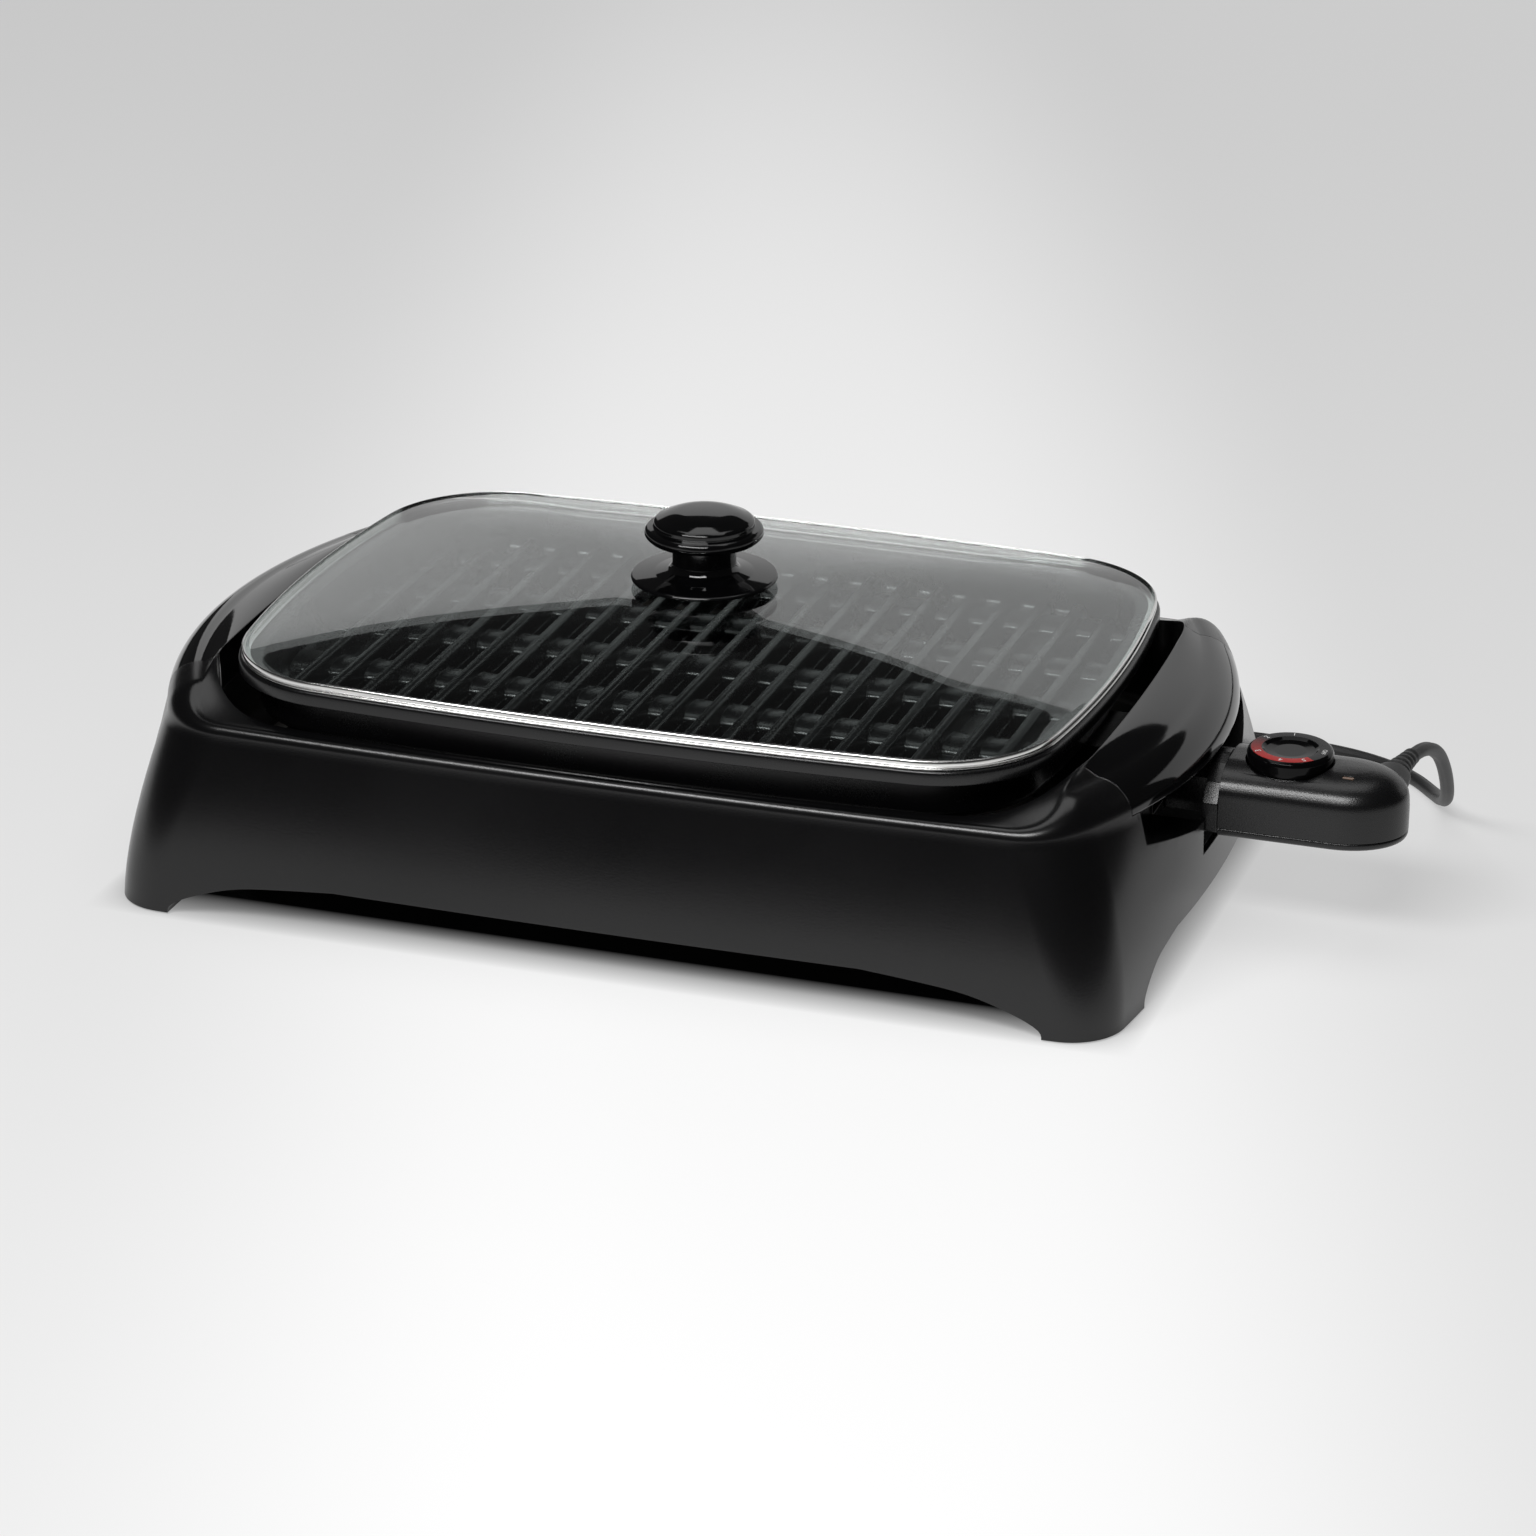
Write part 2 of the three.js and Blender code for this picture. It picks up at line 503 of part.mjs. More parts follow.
function makeBand() {
  const ring = (inset, width, z0, z1) =>
    prism(outline(lidPlan, inset, lidArcs), z0, z1)
      .subtract(prism(outline(lidPlan, inset + width, lidArcs), z0 - 1, z1 + 1));
  return add(
    ring(0, lid.bandSheet, bandBottom, bandBottom + lid.band),
    ring(0, lid.bandWidth, bandBottom, bandBottom + lid.bandSheet),
  );
}
piece("lid_rim", makeBand(), 0xd2d3d6, 0.15, 1);

const crown = paneTop + lid.crown; // top of the pane in the middle
const paneUnder = crown - lid.glass;
const washerTop = crown + 1.4;

function makeKnobBase() {
  const { flangeRadius, flangeRim, stemRadius, stemTop, screwRadius } = knob;
  const seat = washerTop + touchGap;
  const profile = [
    [0, seat], [stemRadius + 4, seat], [flangeRadius - 3, flangeRim - 2.4], [flangeRadius, flangeRim - 1.4],
    [flangeRadius - 0.6, flangeRim], [stemRadius + 8, flangeRim + 1.2], [stemRadius + 1.5, flangeRim + 2.6],
    [stemRadius, flangeRim + 5], [stemRadius, stemTop], [0, stemTop],
  ];
  return turned(profile, 28).subtract(rod(0, 0, screwRadius + touchGap, seat - 1, stemTop + 1, 12));
}
piece("knob_base", makeKnobBase(), 0x0b0b0c, 0.15);

function makeKnobCap() {
  const { capRadius, stemTop, height, screwRadius } = knob;
  const low = stemTop + touchGap;
  const profile = [
    [0, low], [capRadius - 10, low], [capRadius - 2, low + 3.4], [capRadius, low + 6.4], [capRadius - 1, low + 8.6],
    [capRadius - 5, low + 10.2], [capRadius - 5.6, low + 11.4], [capRadius - 6, height - 4],
    [capRadius - 9, height - 1.6], [capRadius - 16, height - 0.2], [0, height],
  ];
  return turned(profile, 28).subtract(rod(0, 0, screwRadius + touchGap, low - 1, low + 9, 12));
}
piece("knob_cap", makeKnobCap(), 0x0b0b0c, 0.12);

const ringAt = (radius, hole, z0, z1) => rod(0, 0, radius, z0, z1, 28).subtract(rod(0, 0, hole, z0 - 1, z1 + 1, 16));
piece("knob_washer", ringAt(knob.stemRadius + 1, knob.screwRadius + 1, crown + touchGap, washerTop), 0x2a2a2a, 0.8);
const underWasher = paneUnder - 2 * touchGap - 1.5; // bottom of the steel washer under the pane
const screwWasher = ringAt(9, knob.screwRadius + touchGap, underWasher, paneUnder - 2 * touchGap);
piece("screw_washer", screwWasher, 0xb0b2b5, 0.3, 1);
const screwHead = underWasher - touchGap;
const knobShank = rod(0, 0, knob.screwRadius, screwHead - 0.5, knob.stemTop + 7, 16);
const knobScrew = knobShank.add(rod(0, 0, 2 * knob.screwRadius, screwHead - 2.6, screwHead, 20));
piece("knob_screw", knobScrew, 0xb0b2b5, 0.3, 1);

// ---------------------------------------------------------------- temperature control
// Its plan is straight towards the griddle and rounded at the tip; a rise of the dome draws the plan in.
function housingPlan(inset, from = probe.back - 40) {
  const { tip, halfWidth, roundLength } = probe;
  const half = halfWidth - inset, start = tip - roundLength, reach = roundLength - inset;
  const side = [];
  for (let i = 0; i <= 6; i++) {
    const turn = (Math.PI / 2) * (1 - i / 6);
    side.push([start + reach * Math.cos(turn), -half * Math.sin(turn)]);
  }
  return [[from, -half], ...side, ...side.slice(0, -1).reverse().map(([x, y]) => [x, -y]), [from, half]];
}

const domeSteps = [[0, 0], [0.4, 0.3], [2.2, 0.56], [6, 0.78], [12, 0.93], [19, 1]];
const domeHeight = (share) => probe.shoulder + (probe.crest - probe.shoulder) * share;
const clipBack = (shape, x) => shape.subtract(box(x - 120, x, -80, 80, 0, 160));

function dome(inset) {
  const rings = [at(housingPlan(inset), probe.parting)];
  for (const [draw, share] of domeSteps) {
    rings.push(at(housingPlan(Math.min(inset + draw, probe.halfWidth - 2)), domeHeight(share) - inset));
  }
  return loft(rings);
}

function makeUpperShell() {
  const opening = prism(housingPlan(probe.wall), probe.parting - 5, probe.parting + 1);
  const hollow = clipBack(dome(probe.wall).add(opening), probe.back + probe.wall);
  const boss = rod(dial.x, 0, dial.bossRadius, probe.shoulder, dial.bottom - touchGap, 32);
  let shape = add(clipBack(dome(0), probe.back), boss).subtract(hollow);
  shape = shape.subtract(rod(dial.x, 0, dial.shaftRadius + runGap, 60, 100, 16));
  shape = shape.subtract(
    box(probe.back - 1, probe.back + 5, -noseInner, noseInner, probe.parting - 1, probe.noseTop + 1));
  shape = shape.subtract(lensBlock(touchGap, 70, 100));
  shape = shape.subtract(rod(dial.x, 0, dial.radius + runGap, dial.bottom - touchGap, 100, 32));
  for (const side of pair) {
    shape = shape.add(rod(post.x, side * post.y, post.radius, probe.parting, post.top, 12));
    const holeRadius = post.screwRadius + touchGap;
    shape = shape.subtract(rod(post.x, side * post.y, holeRadius, probe.parting - 1, post.screwTop + 1, 12));
  }
  return shape;
}
const noseInner = pinSpread + 3.5; // the shells stop this far from the middle, round the pins' sleeves

function lensBlock(grow, z0, z1) {
  const half = lens.length / 2 + grow, side = lens.width / 2 + grow;
  return box(lens.x - half, lens.x + half, lens.y - side, lens.y + side, z0, z1);
}

function makeLowerShell() {
  const low = probe.bottom, high = probe.parting - touchGap;
  const body = (inset, top) => loft([
    at(housingPlan(3 + inset), low + inset), at(housingPlan(1 + inset), low + 0.8 + inset),
    at(housingPlan(inset), low + 2.4 + inset), at(housingPlan(inset), top),
  ]);
  let shape = clipBack(body(0, high), probe.back);
  shape = shape.subtract(clipBack(body(probe.wall, high + 2), probe.back + probe.wall));
  for (const side of pair) {
    const hole = (radius, z0, z1) => rod(post.x, side * post.y, radius, z0, z1, 12);
    shape = shape.add(hole(post.radius, low + 1, high));
    const headHole = hole(post.screwHead + touchGap, low - 1, low + 1.4 + touchGap);
    shape = cut(shape, hole(post.screwRadius + touchGap, low - 1, high + 1), headHole);
  }
  return shape;
}

// The faceted collar where the housing meets the griddle, holed for the contacts and the sensor rod.
function collarProfile(grow) {
  const half = probe.halfWidth + grow, { bottom, shoulder, crest } = probe;
  const side = [
    [half, bottom + 2], [half, shoulder + 1], [half - 7, shoulder + 10], [half - 17, crest - 2],
    [half - 25, crest + grow],
  ];
  return [...side, ...side.map(([y, z]) => [-y, z]).reverse()];
}
function makeCollar() {
  const { collarBack, back, collarGrow, noseBack, noseHalfWidth, noseBottom, noseTop } = probe;
  let shape = prismAlongX(collarProfile(collarGrow), collarBack, back - touchGap);
  shape = shape.add(box(noseBack, collarBack + 1, -noseHalfWidth, noseHalfWidth, noseBottom, noseTop));
  for (const y of pinY) {
    shape = shape.subtract(rodAlongX(y, terminal.z, sleeve.radius + touchGap, noseBack - 1, back + 1));
  }
  return shape.subtract(rodAlongX(0, terminal.z, sensor.radius + touchGap, noseBack - 1, back + 1));
}

piece("probe_upper_shell", makeUpperShell(), 0x161618, 0.5);
piece("probe_lower_shell", makeLowerShell(), 0x161618, 0.5);
piece("probe_collar", makeCollar(), 0x141416, 0.45);
piece("sensor_rod", rodAlongX(0, terminal.z, sensor.radius, sensor.tip, probe.back + 6, 16), 0xb9bbc0, 0.25, 1);
for (const side of pair) {
  const outside = rodAlongX(side * terminal.spread, terminal.z, sleeve.radius, probe.noseBack + 0.5, probe.back + 5);
  const boreEnd = terminal.pinTip + sleeve.deep;
  const bore = rodAlongX(
    side * terminal.spread, terminal.z, terminal.pinRadius + runGap, probe.noseBack - 1, boreEnd);
  piece(`contact_sleeve_${endName[side]}`, outside.subtract(bore), 0xb08d57, 0.35, 1);
}
const across = ({ back, front, halfWidth, bottom, top }, from = 0) =>
  box(from + back, from + front, -halfWidth, halfWidth, bottom, top);
piece("contact_block", across(contact, probe.back), 0xd8d2c4, 0.7);
piece("thermostat_switch", across(thermostat), 0x8a5a34, 0.5);
piece("indicator_lens", lensBlock(0, lamp.top + 1, domeHeight(0.96)), 0xc46a1c, 0.2);
piece("indicator_lamp", rod(lens.x, lens.y, lamp.radius, lamp.bottom, lamp.top, 14), 0xe0d8c8, 0.2);
for (const side of pair) {
  const shank = rod(post.x, side * post.y, post.screwRadius, probe.bottom + 1, post.screwTop, 12);
  const screw = shank.add(rod(post.x, side * post.y, post.screwHead, probe.bottom + 0.2, probe.bottom + 1.4, 12));
  piece(`probe_screw_${endName[side]}`, screw, 0x9a9a9c, 0.35, 1);
}

// ---------------------------------------------------------------- dial
function makeDial() {
  const { radius, bottom, top, dishRadius, dishDepth, shaftRadius } = dial;
  const profile = [
    [0, bottom], [radius - 0.9, bottom], [radius - 0.3, bottom + 2.5], [radius, top - 2.6], [radius - 0.6, top - 0.9],
    [radius - 1.8, top], [dishRadius, top], [dishRadius - 1.5, top - dishDepth * 0.7],
    [dishRadius - 6, top - dishDepth], [0, top - dishDepth],
  ];
  return turned(profile, 32, dial.x).subtract(rod(dial.x, 0, shaftRadius + touchGap, bottom - 1, bottom + 4.5, 16));
}
piece("dial", makeDial(), 0x0c0c0d, 0.15);
const dialShaft = rod(dial.x, 0, dial.shaftRadius, thermostat.top + runGap, dial.bottom + 4.2, 16);
piece("dial_shaft", dialShaft, 0xb9bbc0, 0.3, 1);

// ---------------------------------------------------------------- cord
// Where the cord leaves the housing, and its way down to the table and round behind the griddle.
const cordExit = [350.6, 58, 74.6];
const cordRoute = [
  cordExit, [353, 70, 73.4], [355, 82, 69.5], [356.5, 95, 62], [357, 108, 51], [356.5, 121, 38.5], [355, 134, 26.5],
  [352, 148, 16], [347, 163, 8.6], [339, 179, 5], [327, 195, 4], [311, 208, 4], [291, 217, 4], [268, 222, 4],
  [243, 224, 4], [217, 224, 4], [190, 223.4, 4], [163, 222.4, 4], [137.5, 222, 4],
];
function reliefRing([x, y, z], along, wide, high) {
  const turn = Math.atan2(along[1], along[0]);
  return Array.from({ length: 12 }, (_, i) => {
    const a = (2 * Math.PI * i) / 12, side = wide * Math.cos(a);
    return [x - side * Math.sin(turn), y + side * Math.cos(turn), z + high * Math.sin(a)];
  });
}
function makeRelief() {
  const start = [343.6, 20, 73.5], end = [350.4, 57.4, 74.6];
  const step = (t) => start.map((v, k) => v + (end[k] - v) * t);
  const along = [end[0] - start[0], end[1] - start[1]];
  const taper = [[0, 11, 7], [0.3, 9, 6.2], [0.55, 6.4, 5.4], [0.8, 4.9, 4.6], [1, 4.4, 4.2]];
  const shape = loft(taper.map(([t, wide, high]) => reliefRing(step(t), along, wide, high)));
  return shape.subtract(clipBack(dome(-touchGap), probe.back));
}
piece("strain_relief", makeRelief(), 0x161618, 0.55);
piece("cord_lead", sweep(cordRoute, cord.radius, 8, 30), 0x141414, 0.6);

// Past the coil the cord comes down to its plug, which lies on the table behind the griddle.
const plugTail = plug.x + plug.length + touchGap;
const plugMiddle = plug.height / 2 + 0.2;
const cordEnd = [
  [82.5, 222, 17.6], [71, 222, 14.9], [59.5, 222, 11.3], [48, 222, 9.4], [plugTail, plug.y, plugMiddle],
];
piece("cord_tail", sweep(cordEnd, cord.radius, 8, 6), 0x141414, 0.6);

const coilTop = 0.4 + (cord.coilTurns + 1) * cord.radius * 2 + cord.coilSlack;
const coilInner = cord.coilRadius - cord.radius - cord.coilSlack;
const coilOuter = cord.coilRadius + cord.radius + cord.coilSlack;
function makeCoil() {
  const inner = coilInner, outer = coilOuter;
  const points = [[inner, 0.2], [outer, 0.2], [outer, coilTop], [inner, coilTop], [inner, 0.2]];
  const ring = new THREE.LatheGeometry(points.map(([r, z]) => new THREE.Vector2(r, z)), 36).rotateX(Math.PI / 2);
  return solid(ring.translate(cord.coilX, cord.coilY, 0));
}
piece("cord_coil", makeCoil(), 0x141414, 0.6);

// The tie is a strap round the coil's bundle, on the side away from the lead.
function makeTie() {
  const half = 6, grow = touchGap, sheet = 1.2;
  const inner = coilInner - 3 * grow, outer = coilOuter + grow;
  const strap = box(-half, half, inner - sheet, outer + sheet, 0.2, coilTop + grow + sheet);
  const room = box(-half - 1, half + 1, inner, outer, -1, coilTop + grow);
  return strap.subtract(room).translate([cord.coilX, cord.coilY, 0]);
}
piece("cord_tie", makeTie(), 0x202022, 0.6);

function makePlug() {
  const { x, y, length, width, height } = plug;
  const wide = width / 2, high = height / 2, corner = 3;
  const quarter = [[wide, high - corner], [wide - corner, high]];
  const half = [...quarter, ...quarter.map(([across, up]) => [-across, up]).reverse()];
  const section = [...half, ...half.map(([across, up]) => [-across, -up])];
  const ring = (px, share) => section.map(([across, up]) => [px, y + across * share, plugMiddle + up * share]);
  return loft([
    ring(x, 0.9), ring(x + 3, 1), ring(x + length * 0.55, 0.92), ring(x + length * 0.8, 0.55), ring(x + length, 0.42),
  ]);
}
piece("plug_body", makePlug(), 0x161616, 0.5);
for (const side of pair) {
  const y = plug.y + (side * plug.bladeGap) / 2, thin = plug.bladeSheet / 2, half = plug.bladeHalf;
  const [low, high] = [plugMiddle - half, plugMiddle + half];
  const blade = box(plug.x - plug.bladeLength, plug.x - touchGap, y - thin, y + thin, low, high);
  piece(`plug_blade_${endName[side]}`, blade, 0xc9a45c, 0.3, 1);
}

// The origin goes under the middle of the box of everything but the cord and what is on it.
const onCord = /^(cord|plug|strain)_/;
const extent = new THREE.Box3();
for (const mesh of group.children) if (!onCord.test(mesh.name)) extent.expandByObject(mesh);
group.position.set(-(extent.min.x + extent.max.x) / 2, -(extent.min.y + extent.max.y) / 2, -extent.min.z);

export default group;
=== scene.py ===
import math
import bpy
import bmesh
from mathutils import Matrix, Vector


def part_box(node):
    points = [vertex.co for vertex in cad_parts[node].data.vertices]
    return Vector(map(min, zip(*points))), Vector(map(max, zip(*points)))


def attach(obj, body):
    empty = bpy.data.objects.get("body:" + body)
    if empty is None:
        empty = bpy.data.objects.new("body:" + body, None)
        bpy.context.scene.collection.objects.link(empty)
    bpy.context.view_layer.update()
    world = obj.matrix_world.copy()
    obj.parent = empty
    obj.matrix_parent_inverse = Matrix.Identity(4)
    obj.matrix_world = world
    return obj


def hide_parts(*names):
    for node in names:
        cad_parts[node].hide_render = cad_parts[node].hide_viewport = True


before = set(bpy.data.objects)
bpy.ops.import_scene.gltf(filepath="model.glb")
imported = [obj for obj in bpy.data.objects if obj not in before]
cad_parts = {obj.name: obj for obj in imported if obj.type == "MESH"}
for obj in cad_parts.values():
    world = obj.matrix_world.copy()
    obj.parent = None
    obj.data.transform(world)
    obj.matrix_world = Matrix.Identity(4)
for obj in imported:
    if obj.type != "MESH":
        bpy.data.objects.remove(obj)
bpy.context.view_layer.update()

# Shapes are drawn in millimetres about the griddle's own middle, which lies under the middle of the
# lid's band, and settle() puts each one in the frame, in metres.
rimLow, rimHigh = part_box("lid_rim")
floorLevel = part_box("foot_left_front")[0][2]
toFrame = Matrix.Translation(((rimLow[0] + rimHigh[0]) / 2, 0, floorLevel)) @ Matrix.Scale(0.001, 4)
print("frame loaded")


# camera
camera = {"azimuth": 18.81, "elevation": 22.65, "distance": 2528.2, "lens": 117.19, "sensor": 36,
          "target": (33.56, 0, 48.36)}


def makeCamera(values):
    azimuth, elevation = math.radians(values["azimuth"]), math.radians(values["elevation"])
    back = Vector((math.sin(azimuth) * math.cos(elevation), -math.cos(azimuth) * math.cos(elevation),
                   math.sin(elevation)))
    data = bpy.data.cameras.new("camera")
    data.lens = values["lens"]
    data.sensor_width = values["sensor"]
    data.clip_end = 60
    obj = bpy.data.objects.new("camera", data)
    bpy.context.scene.collection.objects.link(obj)
    obj.location = toFrame @ (Vector(values["target"]) + back * values["distance"])
    obj.rotation_euler = back.to_track_quat("Z", "Y").to_euler()
    bpy.context.scene.camera = obj


makeCamera(camera)


# shader helpers
class Value:
    # an output socket, so that sums on it read as Python and add Math nodes
    def __init__(self, look, socket):
        self.look, self.socket = look, socket

    def math(self, operation, *others):
        return self.look.node("ShaderNodeMath", {"operation": operation}, dict(enumerate((self, *others))))

    def __add__(self, other):
        return self.math("ADD", other)

    def __rsub__(self, other):
        return (self * -1) + other

    def __mul__(self, other):
        return self.math("MULTIPLY", other)

    def __gt__(self, other):
        return self.math("GREATER_THAN", other)

    def __lt__(self, other):
        return self.math("LESS_THAN", other)

    __radd__, __rmul__ = __add__, __mul__


class Look:
    # a material and the nodes that make it
    def __init__(self, name):
        self.material = bpy.data.materials.new(name)
        self.material.use_nodes = True
        self.tree = self.material.node_tree
        self.tree.nodes.clear()
        self.end = self.tree.nodes.new("ShaderNodeOutputMaterial")

    def node(self, kind, settings=None, sockets=None, output=0):
        made = self.tree.nodes.new(kind)
        for key, value in (settings or {}).items():
            if key == "stops":
                while len(made.color_ramp.elements) < len(value):
                    made.color_ramp.elements.new(0.5)
                for element, (position, shade) in zip(made.color_ramp.elements, value):
                    element.position, element.color = position, (*shade, 1)
            else:
                setattr(made, key, value)
        for key, value in (sockets or {}).items():
            if isinstance(value, Value):
                self.tree.links.new(value.socket, made.inputs[key])
            elif made.inputs[key].type == "RGBA" and len(value) == 3:
                made.inputs[key].default_value = (*value, 1)
            else:
                made.inputs[key].default_value = value
        return Value(self, made.outputs[output])

    def spot(self):
        return self.node("ShaderNodeTexCoord", output="Object")

    def stretched(self, scale, middle=(0, 0, 0)):
        moved = self.node("ShaderNodeVectorMath", {"operation": "SUBTRACT"}, {0: self.spot(), 1: middle})
        return self.node("ShaderNodeVectorMath", {"operation": "MULTIPLY"}, {0: moved, 1: scale})

    def noise(self, scale, detail=2.0, spot=None):
        return self.node("ShaderNodeTexNoise", None,
                         {"Vector": spot or self.spot(), "Scale": scale, "Detail": detail})

    def cells(self, scale):
        return self.node("ShaderNodeTexVoronoi", None, {"Vector": self.spot(), "Scale": scale})

    def spread(self, value, low, high, toLow, toHigh):
        return self.node("ShaderNodeMapRange", {"clamp": True}, {
            "Value": value, "From Min": low, "From Max": high, "To Min": toLow, "To Max": toHigh})

    def blend(self, share, first, second):
        return self.node("ShaderNodeMix", {"data_type": "RGBA"}, {0: share, 6: first, 7: second}, 2)

    def bump(self, height, strength, distance, under=None):
        sockets = {"Height": height, "Strength": strength, "Distance": distance}
        if under:
            sockets["Normal"] = under
        return self.node("ShaderNodeBump", None, sockets)

    def softEdges(self, radius):
        return self.node("ShaderNodeBevel", {"samples": 4}, {"Radius": radius})

    def surface(self, **sockets):
        named = {key.replace("_", " "): value for key, value in sockets.items()}
        return self.show(self.node("ShaderNodeBsdfPrincipled", None, named))

    def show(self, shader):
        self.tree.links.new(shader.socket, self.end.inputs["Surface"])
        return self.material


looks = {}


def finish(make, *values):
    # each material is made once
    if make.__name__ not in looks:
        looks[make.__name__] = make(*values)
    return looks[make.__name__]


# materials
def texturedPlastic():
    # matte black moulding with a fine spark texture
    look = Look("texturedPlastic")
    grain, coarse = look.noise(1500, 3), look.cells(900)
    handled = look.noise(11, 3)
    shade = look.blend(handled, (0.0018, 0.0018, 0.002), (0.0032, 0.0032, 0.0035))
    rough = look.spread(handled, 0.3, 0.7, 0.19, 0.24) + grain * 0.04
    fine = look.bump(grain, 0.4, 0.00006, look.softEdges(0.0007))
    return look.surface(Base_Color=shade, Roughness=rough, Specular_IOR_Level=0.5,
                        Normal=look.bump(coarse, 0.15, 0.00005, fine))


def controlPlastic():
    look = Look("controlPlastic")
    grain, coarse = look.noise(1700, 3), look.cells(1300)
    shade = look.blend(look.noise(25, 2), (0.003, 0.003, 0.0033), (0.005, 0.005, 0.0054))
    fine = look.bump(grain, 0.6, 0.00008, look.softEdges(0.0005))
    return look.surface(Base_Color=shade, Roughness=0.24 + grain * 0.07, Specular_IOR_Level=0.5,
                        Normal=look.bump(coarse, 0.3, 0.00006, fine))


def polishedBlack():
    # glossy black moulding, slightly wavy, with faint wiping marks in its polish
    look = Look("polishedBlack")
    wipe = look.noise(60, 4, look.stretched((1, 0.2, 0.6)))
    wave = look.noise(14, 1)
    rough = look.spread(wipe, 0.4, 0.75, 0.035, 0.075)
    shade = look.blend(wipe, (0.0012, 0.0012, 0.0014), (0.0022, 0.0022, 0.0025))
    return look.surface(Base_Color=shade, Roughness=rough, Specular_IOR_Level=0.55,
                        Normal=look.bump(wave, 0.08, 0.002, look.softEdges(0.0008)))


def dialBlack():
    # polished black with the printed heat scale: grey on the cool side, deepening to red on the hot side
    look = Look("dialBlack")
    where = look.stretched((1, 1, 1), tuple(toFrame @ Vector((dial["x"], 0, 0))))
    x, y, z = (look.node("ShaderNodeSeparateXYZ", None, {0: where}, k) for k in range(3))
    reach = (x * x + y * y).math("SQRT")
    turn = y.math("ARCTAN2", x) * (180 / math.pi)
    round360 = turn + (turn < 0) * 360
    onBand = (reach > dial["bandInner"] / 1000) * (reach < dial["bandOuter"] / 1000) \
        * (z > (dial["top"] - 0.5) / 1000)
    hot = look.spread(round360, *dial["redFrom"], 0, 1) * (round360 < dial["redEnd"])
    fleck = look.noise(2500, 1)
    cool = look.blend(fleck, (0.010, 0.010, 0.011), (0.015, 0.015, 0.016))
    red = look.blend(fleck, (0.34, 0.006, 0.005), (0.42, 0.010, 0.008))
    band = look.blend(hot, cool, red)
    shade = look.blend(onBand, (0.002, 0.002, 0.0022), band)
    rough = look.spread(look.noise(90, 3), 0.4, 0.75, 0.06, 0.10) + onBand * 0.2
    return look.surface(Base_Color=shade, Roughness=rough, Specular_IOR_Level=0.16,
                        Normal=look.softEdges(0.0004))


def printedWhite():
    look = Look("printedWhite")
    ink = look.noise(3000, 2)
    return look.surface(Base_Color=look.blend(ink, (0.62, 0.62, 0.61), (0.74, 0.74, 0.73)),
                        Roughness=0.42 + ink * 0.1)


def nonstick():
    # satin black coating with a fine sprayed grain and a few paler specks
    look = Look("nonstick")
    grain, speck = look.noise(1300, 3), look.cells(420)
    shade = look.blend(look.spread(speck, 0.0, 0.12, 1, 0), (0.0022, 0.0022, 0.0025), (0.006, 0.006, 0.006))
    rough = look.spread(look.noise(18, 3), 0.3, 0.7, 0.21, 0.27) + grain * 0.05
    return look.surface(Base_Color=shade, Roughness=rough, Specular_IOR_Level=0.5,
                        Normal=look.bump(grain, 0.45, 0.00007, look.softEdges(0.0006)))


def trayBlack():
    look = Look("trayBlack")
    grain, stain = look.noise(1100, 3), look.noise(9, 4)
    shade = look.blend(look.spread(stain, 0.45, 0.75, 0, 1), (0.012, 0.012, 0.012), (0.024, 0.020, 0.016))
    return look.surface(Base_Color=shade, Roughness=look.spread(stain, 0.3, 0.7, 0.3, 0.45),
                        Normal=look.bump(grain, 0.4, 0.00006, look.softEdges(0.0006)))


def metal(name, shade, worn, rough, lines, direction):
    # bare metal: fine lines along one direction, with duller patches where it is worn
    look = Look(name)
    brushed = look.noise(lines, 3, look.stretched(direction))
    patch = look.spread(look.noise(30, 4), 0.35, 0.7, 0, 1)
    return look.surface(Base_Color=look.blend(patch, shade, worn), Metallic=1.0,
                        Roughness=rough + brushed * 0.08 + patch * 0.06,
                        Normal=look.bump(brushed, 0.15, 0.00003, look.softEdges(0.0003)))


def rimSteel():
    return metal("rimSteel", (0.78, 0.775, 0.765), (0.70, 0.695, 0.685), 0.07, 900, (0.15, 0.15, 1))


def zincScrew():
    return metal("zincScrew", (0.58, 0.58, 0.59), (0.42, 0.42, 0.43), 0.24, 1500, (1, 0.3, 1))


def pinNickel():
    return metal("pinNickel", (0.68, 0.66, 0.62), (0.52, 0.50, 0.47), 0.16, 2200, (0.1, 1, 1))


def guardSheet():
    # steel sheet coloured near black: painted shade for the recess it sits in
    return metal("guardSheet", (0.045, 0.045, 0.048), (0.028, 0.026, 0.025), 0.34, 1200, (0.2, 1, 0.2))


def elementSheath():
    return metal("elementSheath", (0.20, 0.19, 0.18), (0.11, 0.09, 0.08), 0.36, 700, (1, 1, 0.2))


def contactBrass():
    return metal("contactBrass", (0.74, 0.56, 0.26), (0.52, 0.37, 0.16), 0.18, 1800, (0.1, 1, 1))


def clearGlass():
    # each face reflects by its angle and lets the rest straight through
    look = Look("clearGlass")
    index = 1.52
    inside = look.node("ShaderNodeNewGeometry", output="Backfacing")
    share = look.node("ShaderNodeFresnel", None, {"IOR": index - inside * (index - 1 / index)})
    haze = look.noise(35, 3)
    through = look.node("ShaderNodeBsdfTransparent", None, {"Color": (0.93, 0.955, 0.95)})
    shine = look.node("ShaderNodeBsdfGlossy", None, {"Color": (1, 1, 1), "Roughness": 0.015 + haze * 0.01})
    return look.show(look.node("ShaderNodeMixShader", None, {0: share, 1: through, 2: shine}))


